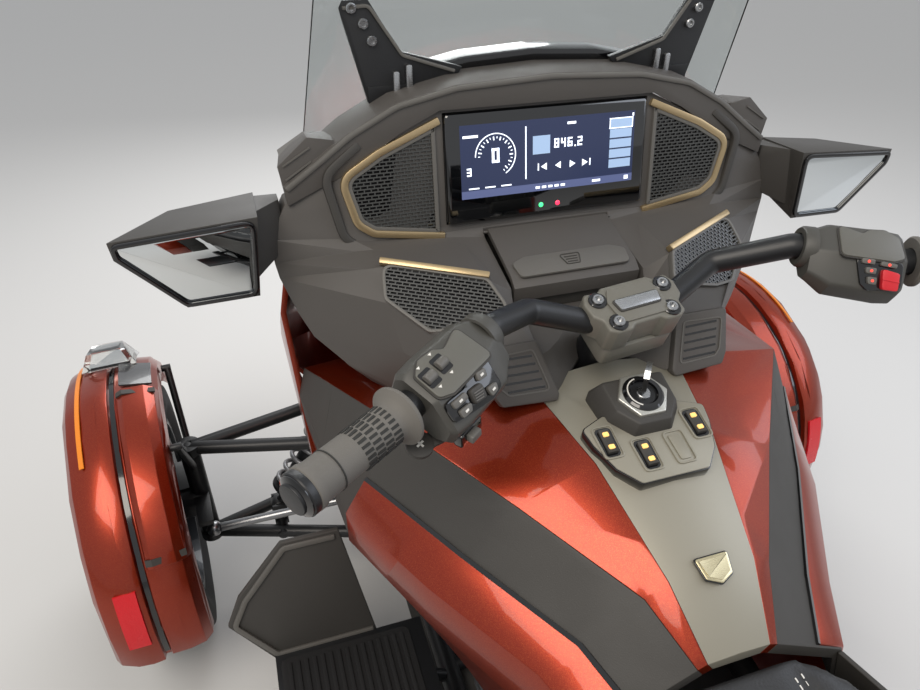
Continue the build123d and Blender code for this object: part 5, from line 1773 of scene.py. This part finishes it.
@dataclass
class Upholstery:
    """Seat and backrest: foam under coated leather, welted seams and a double row of white stitches.

    Attributes:
        voxel_mm: Grain of the remesh that softens the pads.
        passes: Smoothing passes.
        sink_mm: Depth of the seams.
        seam_mm: Reach of a seam's hollow to each side.
        apart_mm: Distance of each row of stitches from its seam.
        pitch_mm: Length of a stitch with its gap.
    """

    voxel_mm: float = 9.0
    passes: int = 14
    sink_mm: float = 5.0
    seam_mm: float = 11.0
    apart_mm: float = 4.5
    pitch_mm: float = 6.5

    def build(self) -> None:
        """Pad, seam and stitch both."""
        seat = self.pad("seat")
        lines = [
            [(-54, 40), (-66, -20), (-92, -150), (-110, -300), (-112, -400)],
            [(54, 40), (66, -20), (92, -150), (110, -300), (112, -400)],
            [(-112, -470), (-128, -560), (-128, -780)],
            [(112, -470), (128, -560), (128, -780)],
            [(-150, -395), (0, -385), (150, -395)],
        ]
        runs = [self.on_top(seat, line) for line in lines]
        self.sink(seat, runs)
        fixed(seat, LEATHER, "seat")
        self.stitches("seat_stitches", [self.on_top(seat, line) for line in lines])
        back = self.pad("backrest")
        front = [[(-104, 935), (-104, 1110)], [(104, 935), (104, 1110)], [(-145, 1020), (145, 1020)]]
        back_runs = [self.on_front(back, line) for line in front]
        self.sink(back, back_runs)
        fixed(back, LEATHER, "backrest")
        self.stitches("backrest_stitches", [self.on_front(back, line) for line in front])

    def pad(self, node: str) -> Piece:
        """Soften a node's solid: remesh it, then let it relax like filled foam.

        Args:
            node: The node's name.

        Returns:
            The padded copy.
        """
        piece = dressed_copy(node, 14)
        piece.name = f"{node}_pad"
        remesh = piece.modifiers.new("remesh", "REMESH")
        remesh.mode = "VOXEL"
        remesh.voxel_size = self.voxel_mm * MM
        relax = piece.modifiers.new("relax", "SMOOTH")
        relax.factor = 0.5
        relax.iterations = self.passes
        return smooth(settle(piece), 80)

    def points_along(self, line: Sequence[Flat]) -> list[Flat]:
        """Points at an even pitch along a rounded line.

        Args:
            line: The line's points.

        Returns:
            The points.
        """
        rounded_line = soft_line(line, 60, 5)
        made = []
        carry = 0.0
        for (x0, y0), (x1, y1) in zip(rounded_line, rounded_line[1:]):
            length = math.hypot(x1 - x0, y1 - y0)
            while carry < length:
                t = carry / length
                made.append((x0 + (x1 - x0) * t, y0 + (y1 - y0) * t))
                carry += self.pitch_mm
            carry -= length
        return made

    def on_top(self, piece: Piece, line: Sequence[Flat]) -> list[tuple[Vector, Vector]]:
        """Drop a line of (x, y) points onto a pad from above: places and normals."""
        starts = [Vector((x * MM, y * MM, 2)) for x, y in self.points_along(line)]
        return self.hits(piece, starts, Vector((0, 0, -1)))

    def on_front(self, piece: Piece, line: Sequence[Flat]) -> list[tuple[Vector, Vector]]:
        """Press a line of (x, z) points onto a pad from the front: places and normals."""
        starts = [Vector((x * MM, 1, z * MM)) for x, z in self.points_along(line)]
        return self.hits(piece, starts, Vector((0, -1, 0)))

    def hits(self, piece: Piece, starts: Sequence[Vector], way: Vector) -> list[tuple[Vector, Vector]]:
        """Places and normals where rays meet a pad.

        Args:
            piece: The pad.
            starts: Where the rays start.
            way: Their direction.

        Returns:
            A place and a normal for each ray that meets it.
        """
        tree = BVHTree.FromObject(piece, bpy.context.evaluated_depsgraph_get())
        found = [tree.ray_cast(start, way) for start in starts]
        return [(hit[0], hit[1]) for hit in found if hit[0] is not None]

    def sink(self, piece: Piece, runs: Sequence[Sequence[tuple[Vector, Vector]]]) -> None:
        """Pull the surface in along the seams.

        Args:
            piece: The piece.
            runs: Places and normals along each seam.
        """
        nearest = KDTree(sum(len(run) for run in runs))
        normals = []
        for run in runs:
            for place, normal in run:
                nearest.insert(place, len(normals))
                normals.append(normal)
        nearest.balance()
        for vertex in piece.data.vertices:
            _, index, distance = nearest.find(vertex.co)
            pull = self.sink_mm * MM * math.exp(-((distance / (self.seam_mm * MM)) ** 2))
            vertex.co -= normals[index] * pull

    def stitches(self, name: str, runs: Sequence[Sequence[tuple[Vector, Vector]]]) -> None:
        """Sew two rows of stitches, one each side of every seam.

        Args:
            name: Its name.
            runs: Places and normals along each seam.
        """
        parts = []
        cells = [(-2.3, 2.3, y - 0.7, y + 0.7, -0.6, 0.8) for y in (-self.apart_mm, self.apart_mm)]
        for run in runs:
            for (a, normal), (b, _) in zip(run, run[1:]):
                spot = Datum((a + b) / 2 / MM, (b - a).normalized(), normal)
                parts.append(bricks("s", spot, cells))
        fixed(joined(name, parts), THREAD)


@dataclass
class Knees:
    """Red lower panels over the tank sides, under a black shut line.

    Attributes:
        flank: Points (x, z) of the tank side at each y, from its top edge down.
        split: Share of the flank's upper face that stays dark.
        between: Sections from each given one to the next.
    """

    flank: dict[int, tuple[Flat, ...]] = field(default_factory=lambda: {
        388: ((262, 900), (330, 772), (330, 717)),
        255: ((162, 868), (262, 770), (264, 705)),
        130: ((74, 838), (180, 758), (190, 694)),
        68: ((47, 801), (151, 740), (164, 691)),
    })
    split: float = 0.62
    between: int = 6

    def build(self) -> None:
        """Lay a panel and its shut line on both sides."""
        rings = []
        for y, (top, knee, low) in self.stations():
            start = tuple(a + (b - a) * self.split for a, b in zip(top, knee))
            outer = [(start[0] + 2, start[1] + 2), (knee[0] + 3, knee[1] + 1), (low[0] + 3, low[1] + 4)]
            inner = [(low[0] - 3, low[1] + 4), (knee[0] - 3, knee[1] - 3), (start[0] - 3, start[1] - 3)]
            rings.append([Vector((x, y, z)) * MM for x, z in outer + inner])
        pair_of(rounded(lofted("red_lower_panel", rings), 1.2, 2, 35), RED)
        above = [Vector(step) * MM for step in ((-3.5, 0, 3.5), (0.6, 0, 0), (-4, 0, 3))]
        gap = [[ring[0] + above[0], ring[0] + above[1], ring[5], ring[5] + above[2]] for ring in rings]
        pair_of(smooth(lofted("knee_shut_line", gap), 30), GLOSS_BLACK)

    def stations(self) -> list[tuple[float, list[Flat]]]:
        """Sections along the flank, with some between each two that are given, since the flank twists.

        Returns:
            The place along the flank and the points of each section.
        """
        given = list(self.flank.items())
        made: list[tuple[float, list[Flat]]] = []
        for (y0, run0), (y1, run1) in zip(given, given[1:]):
            for k in range(self.between):
                t = k / self.between
                run = [(a[0] + (b[0] - a[0]) * t, a[1] + (b[1] - a[1]) * t) for a, b in zip(run0, run1)]
                made.append((y0 + (y1 - y0) * t, run))
        made.append((given[-1][0], list(given[-1][1])))
        return made


@dataclass
class Tyres:
    """Grooved carcasses with tread blocks, and hub caps with their bolts, replacing the plain tyres.

    Attributes:
        front: Radius and width of a front tyre, in millimetres.
        rear: Radius and width of the rear tyre.
        bead: Radius of a tyre's inner edge.
        grooves: Places of the grooves across the tread, as shares of its half width.
        blocks: Blocks on each side of the tread.
        hub_out: Distance of a hub cap from the middle of its wheel.
    """

    front: Flat = (281, 165)
    rear: Flat = (303, 225)
    bead: float = 190.5
    grooves: tuple[float, ...] = (-0.5, -0.18, 0.18, 0.5)
    blocks: int = 46
    hub_out: float = 45

    def build(self) -> None:
        """Dress the three wheels."""
        for side in Side:
            centre = Vector((side.value * TRACK_HALF, AXLE_F_Y, TYRE_F_R))
            wheel = f"wheel_front_{side.word}"
            carcass, tread = self.tyre(f"tyre_{side.word}_tread", centre, *self.front)
            finish_piece(on_knuckle(carcass, side), TYRE, wheel, f"tyre_front_{side.word}")
            finish_piece(on_knuckle(tread, side), TYRE, wheel)
            out = Vector((side.value * self.hub_out * MM, 0, 0))
            hub = self.hub(f"hub_{side.word}", centre + out, side.value)
            finish_piece(on_knuckle(hub, side), SILVER, wheel)
        carcass, tread = self.tyre("tyre_rear_tread", AXLE_R, *self.rear)
        finish_piece(carcass, TYRE, Body.WHEEL_REAR, "tyre_rear")
        finish_piece(tread, TYRE, Body.WHEEL_REAR)

    def tyre(self, name: str, centre: Vector, radius: float, width: float) -> tuple[Piece, Piece]:
        """Carcass with grooves round it, and blocks over it.

        Args:
            name: The carcass's name.
            centre: Middle of the wheel, in metres.
            radius: Radius of the tread, in millimetres.
            width: Width of the tyre.

        Returns:
            The carcass and the blocks.
        """
        half = width / 2
        shoulder = radius - 0.22 * (radius - self.bead)
        flank = [(-half * 0.78, self.bead), (-half * 0.97, (self.bead * 2 + shoulder) / 3),
                 (-half * 0.99, (self.bead + shoulder) / 2), (-half * 0.95, shoulder),
                 (-half * 0.72, radius - 5)]
        crown = []
        for groove in self.grooves:
            crown += [(half * groove + x, radius - y) for x, y in ((-4, 1.2), (-3, 7), (3, 7), (4, 1.2))]
        profile = flank + crown + [(-x, r) for x, r in reversed(flank)]
        axle = Datum(centre / MM, (0, 0, 1), (1, 0, 0))
        carcass = turned(name, axle, [(r, x) for x, r in profile], 72)
        return carcass, joined(name + "_blocks", self.tread(centre, radius, half))

    def tread(self, centre: Vector, radius: float, half: float) -> list[Piece]:
        """Two rows of blocks round a tyre, half a step apart.

        Args:
            centre: Middle of the wheel, in metres.
            radius: Radius of the tread, in millimetres.
            half: Half width of the tyre.

        Returns:
            The blocks.
        """
        made = []
        length = half * 0.18
        for k in range(self.blocks):
            for way, shift in ((-1, 0), (1, 0.5)):
                a = 2 * math.pi * (k + shift) / self.blocks
                out = Vector((0, math.cos(a), math.sin(a)))
                origin = centre / MM + out * (radius - 6) + Vector((way * half * 0.62, 0, 0))
                cell = (-length, length, -radius * 0.05, radius * 0.05, -3, 4.2)
                made.append(bricks("b", Datum(origin, (1, 0, 0), out), [cell]))
        return made

    def hub(self, name: str, centre: Vector, way: int) -> Piece:
        """Centre cap and five wheel bolts.

        Args:
            name: Its name.
            centre: Its middle, in metres.
            way: Its direction.

        Returns:
            The cap with its bolts.
        """
        face = Datum(centre / MM, (0, 0, 1), (way, 0, 0))
        cap = turned("cap", face, [(0.05, 4), (16, 3), (20, 0), (20, -6)], 28)
        return joined(name, [cap, *[cap_screw("bolt", face, spot, 6, -2) for spot in arc(28, 36, 72, 5)]])


def coil_spring(name: str, foot: Vector, head: Vector, radius: float, wire: float, turns: int) -> Piece:
    """Helical spring between two points.

    Args:
        name: Its name.
        foot: Its lower end, in millimetres.
        head: Its upper end.
        radius: Radius of the helix.
        wire: Radius of the wire.
        turns: Number of turns.

    Returns:
        The spring.
    """
    way = (head - foot).normalized()
    u = way.orthogonal().normalized()
    v = way.cross(u)
    steps = turns * 20
    rings = []
    for k in range(steps + 1):
        a = 2 * math.pi * turns * k / steps
        out = u * math.cos(a) + v * math.sin(a)
        middle = foot + (head - foot) * (k / steps) + out * radius
        rings.append([(middle + out * x + way * y) * MM for x, y in arc(wire, 0, 45, 8)])
    return smooth(lofted(name, rings), 60)


@dataclass
class Dampers:
    """Coil-over dampers with wound springs, replacing the ringed solids.

    Attributes:
        front: Lower and upper eye of the left front damper, in millimetres.
        rear: Lower and upper eye of the rear damper.
        seat: Distance of a spring's ends from the eyes.
        wire: Radius of the spring wire.
    """

    front: tuple[Point, Point] = ((-430, 966, 212), (-215, 966, 548))
    rear: tuple[Point, Point] = ((0, -390, 325), (0, -318, 565))
    seat: float = 62
    wire: float = 5

    def build(self) -> None:
        """Build the three dampers."""
        bodies = []
        springs = []
        (fx, fy, fz), (hx, hy, hz) = self.front
        across = (0, 1, 0)
        sets = [(*self.front, across, 42, 8), ((-fx, fy, fz), (-hx, hy, hz), across, 42, 8),
                (*self.rear, (1, 0, 0), 40, 6)]
        ring = [(8, -15), (16, -15), (18, -12), (18, 12), (16, 15), (8, 15), (8, -15)]
        for foot, head, pin, radius, turns in sets:
            a = Vector(foot)
            b = Vector(head)
            way = (b - a).normalized()
            profile = self.profile(radius, (b - a).length)
            bodies.append(turned("damper", Datum(foot, pin, way), profile, 28))
            bodies += [turned("eye", Datum(end, way, pin), ring, 28) for end in (foot, head)]
            ends = (a + way * self.seat, b - way * self.seat)
            springs.append(coil_spring("coil", *ends, radius - 6, self.wire, turns))
        fixed(joined("damper_bodies", bodies), SATIN_BLACK, "shock_absorbers")
        fixed(joined("damper_springs", springs), SPRING_SILVER)

    def profile(self, radius: float, length: float) -> list[Flat]:
        """Profile of a damper: spring seats at both ends, a cylinder below and a thin rod above.

        Args:
            radius: Outer radius of the spring.
            length: Distance between the two eyes.

        Returns:
            Points of radius and height.
        """
        seat = radius - 2
        low = [(0.05, 6), (12, 6), (12, 34), (24, 38), (24, 50), (seat, 52), (seat, 58), (24, 60)]
        middle = [(24, length * 0.55), (9, length * 0.56)]
        high = [(9, 60), (seat, 58), (seat, 52), (20, 50), (12, 32), (12, 6), (0.05, 6)]
        return low + middle + [(r, length - h) for r, h in high]


@dataclass
class Lamps:
    """Bowls behind the headlamps' lenses and ribs on the tail lamps."""

    def build(self) -> None:
        """Build bowls and ribs."""
        bowl = [(0.05, -34), (12, -30), (20, -14), (24, 4), (26, 4), (26, -20), (0.05, -40)]
        for x, y in ((165, 1352), (215, 1318)):
            spot = Datum((x, y, 545), (0, 0, 1), (0.31, 0.95, 0.0))
            pair_of(turned(f"headlamp_bowl_{x}", spot, bowl), CHROME)
        tail = Datum((0, -1392, 685), (-1, 0, 0), (0, -1, 0))
        ribs = [slab("b", tail, rectangle(-190, 12 * i - 26, -116, 12 * i - 20), 0, 2.4, 0.6)
                for i in range(5)]
        pair_of(joined("tail_lamp_ribs", ribs), LENS_RED)


@dataclass
class Running:
    """Engine fins and exhaust tip."""

    fins: int = 9

    def build(self) -> None:
        """Build them."""
        made = []
        for way in (-1, 1):
            face = Datum((way * 135, 160, 375), (0, 1, 0), (way, 0, 0))
            for i in range(self.fins):
                low = 36 * i - 150
                fin = [(x, way * y) for x, y in rectangle(-250, low, 250, low + 9)]
                made.append(slab("fin", face, fin[::way], -1, 5, 1))
        fixed(joined("engine_fins", made), ENGINE)
        tip = Datum((290, -1279, 330), (1, 0, 0), (0, -640, 40))
        profile = [(24, -30), (24, -2), (27, 0), (44, 0), (60, -4), (62.4, -14), (62.4, -40)]
        fixed(turned("exhaust_tip", tip, profile, 40), SATIN_BLACK)


@dataclass(frozen=True)
class Dress:
    """How one rigid node is dressed.

    Attributes:
        finish: Its surface.
        edge_mm: Rounding of its edges.
        body: Body that carries it.
        fold: Folds under this many degrees are merged and shaded smooth.
    """

    finish: Finish
    edge_mm: float
    body: str = Body.CHASSIS
    fold: float = 3


@dataclass
class Dresser:
    """Rounds and finishes the nodes whose form the frame already has."""

    table: dict[str, Dress] = field(default_factory=dict)

    def build(self) -> None:
        """Dress every node of the table."""
        for node, dress in self.table.items():
            piece = dressed_copy(node, dress.edge_mm, dissolve=dress.fold)
            finish_piece(piece, dress.finish, dress.body, node)


def plain_table() -> dict[str, Dress]:
    """The nodes that are dressed as they are.

    Returns:
        How each of them is dressed, by name.
    """
    table = {
        "rim_rear": Dress(ALLOY, 2.5, Body.WHEEL_REAR),
        "suspension_arms": Dress(SATIN_BLACK, 2),
        "steering_rack": Dress(SATIN_BLACK, 2),
        "frame": Dress(SATIN_BLACK, 1.5),
        "swingarm": Dress(SATIN_BLACK, 3),
        "tie_rods": Dress(STEEL, 1, Body.TIE_RODS),
        "engine_block": Dress(ENGINE, 10),
        "belly_pan": Dress(DARK, 2),
        "nose_fascia": Dress(RED, 3),
        "headlamps": Dress(LENS_CLEAR, 4),
        "side_fairing": Dress(RED, 3),
        "hood": Dress(RED, 3, Body.HOOD),
        "front_trunk": Dress(DARK, 1.5),
        "dash": Dress(CHARCOAL, 5),
        "visor": Dress(CHARCOAL, 5),
        "glovebox": Dress(DARK, 1),
        "glovebox_lid": Dress(CHARCOAL, 2, Body.GLOVEBOX),
        "display": Dress(GLASS_BLACK, 6),
        "console": Dress(WARM_GREY, 3),
        "console_sides": Dress(RED, 2.5),
        "tank_sides": Dress(DARK, 3),
        "lower_sides": Dress(RED, 3),
        "seat_sides": Dress(DARK, 2),
        "side_cases": Dress(DARK, 3),
        "side_case_lid_left": Dress(RED, 4, "side_case_lid_left"),
        "side_case_lid_right": Dress(RED, 4, "side_case_lid_right"),
        "top_case": Dress(DARK, 3),
        "top_case_lid": Dress(RED, 4, Body.TOP_LID),
        "tail_body": Dress(RED, 3),
        "tail_lamps": Dress(LENS_RED, 4),
        "muffler": Dress(STEEL, 5),
        "rear_fender": Dress(DARK, 1.5),
        "drive_belt": Dress(BLACK_RUBBER, 1),
        "footboards": Dress(SATIN_BLACK, 2),
        "foot_deflectors": Dress(DARK, 2),
        "windshield": Dress(SCREEN_CLEAR, 1),
        "windshield_arms": Dress(SATIN_BLACK, 2),
        "mirrors": Dress(DARK, 5),
        "handlebar": Dress(SATIN_BLACK, 1, Body.STEERING),
    }
    for side in Side:
        word = side.word
        table[f"rim_front_{word}"] = Dress(ALLOY, 2.5, f"wheel_front_{word}")
        table[f"knuckle_{word}"] = Dress(SATIN_BLACK, 2, f"knuckle_{word}")
        table[f"fender_{word}"] = Dress(RED, 1.5, f"knuckle_{word}", 8)
        table[f"fender_lamp_{word}"] = Dress(LENS_CLEAR, 4, f"knuckle_{word}")
        table[f"passenger_board_{word}"] = Dress(ALLOY, 3, f"passenger_board_{word}")
    return table


@dataclass
class Studio:
    """Camera at the rider's eye, a pale floor and soft light.

    Attributes:
        eye: Place of the camera.
        forward: Direction of its view.
        right: Its right-hand direction.
        lens: Focal length for a 36 mm sensor.
        floor: Colour of the floor.
        sky: Colour of the sky.
        sky_strength: Brightness of the sky.
        aim: Point that the lamps face.
    """

    eye: Point = (-0.385, -0.2144, 1.4432)
    forward: Point = (0.2567, 0.7770, -0.5747)
    right: Point = (0.9518, -0.3065, 0.0108)
    lens: float = 27.31
    floor: str = "C9C8C6"
    sky: str = "E9EBEE"
    sky_strength: float = 0.75
    aim: Point = (0, 0.4, 0.8)

    def build(self) -> None:
        """Set up camera, floor and lights."""
        scene = bpy.context.scene
        scene.view_settings.view_transform = "Standard"
        self.camera(scene)
        self.backdrop(scene)
        self.lamp("key", (-1.6, -1.2, 3.6), 2.2, 95, "FFF6EA")
        self.lamp("fill", (2.8, -0.4, 2.6), 2.4, 45, "EAF1FF")
        self.lamp("rim", (0.4, 3.4, 2.4), 2.0, 55, "FFFFFF")

    def camera(self, scene: bpy.types.Scene) -> None:
        """Place the camera.

        Args:
            scene: The scene.
        """
        data = bpy.data.cameras.new("rider_eye")
        data.lens = self.lens
        data.sensor_width = 36
        data.clip_start = 0.02
        camera = bpy.data.objects.new("rider_eye", data)
        scene.collection.objects.link(camera)
        forward = Vector(self.forward).normalized()
        right = (Vector(self.right) - forward * Vector(self.right).dot(forward)).normalized()
        up = right.cross(forward)
        turn = Matrix((right, up, -forward)).transposed().to_4x4()
        camera.matrix_world = Matrix.Translation(self.eye) @ turn
        scene.camera = camera

    def backdrop(self, scene: bpy.types.Scene) -> None:
        """Lay the floor and set the sky.

        Args:
            scene: The scene.
        """
        deselect()
        bpy.ops.mesh.primitive_plane_add(size=60)
        floor = bpy.context.active_object
        floor.name = "floor"
        floor.data.materials.append(Finish("pale_floor", self.floor, 0.75).material())
        world = bpy.data.worlds.new("studio")
        scene.world = world
        world.use_nodes = True
        sky = world.node_tree.nodes["Background"]
        sky.inputs["Color"].default_value = linear(self.sky)
        sky.inputs["Strength"].default_value = self.sky_strength

    def lamp(self, name: str, where: Point, size: float, power: float, colour: str) -> None:
        """Hang one soft area light that faces the vehicle.

        Args:
            name: Its name.
            where: Its place.
            size: Side of the square.
            power: Watts.
            colour: Its colour.
        """
        data = bpy.data.lights.new(name, "AREA")
        data.size = size
        data.energy = power
        data.color = linear(colour)[:3]
        light = bpy.data.objects.new(name, data)
        bpy.context.scene.collection.objects.link(light)
        light.location = where
        light.rotation_mode = "QUATERNION"
        light.rotation_quaternion = (Vector(self.aim) - Vector(where)).to_track_quat("-Z", "Y")


def main() -> None:
    """Build everything, in order."""
    for part in (Studio(), Dresser(plain_table()), Display(), Speakers(), Vents(), Visor(), GloveTrim(),
                 SwitchHousings(), Grips(), Clamp(), Console(), MirrorGlass(), ShieldArms(), FenderTrim(),
                 Boards(), Upholstery(), Knees(), Tyres(), Dampers(), Lamps(), Running()):
        part.build()


if __name__ == "__main__":
    main()
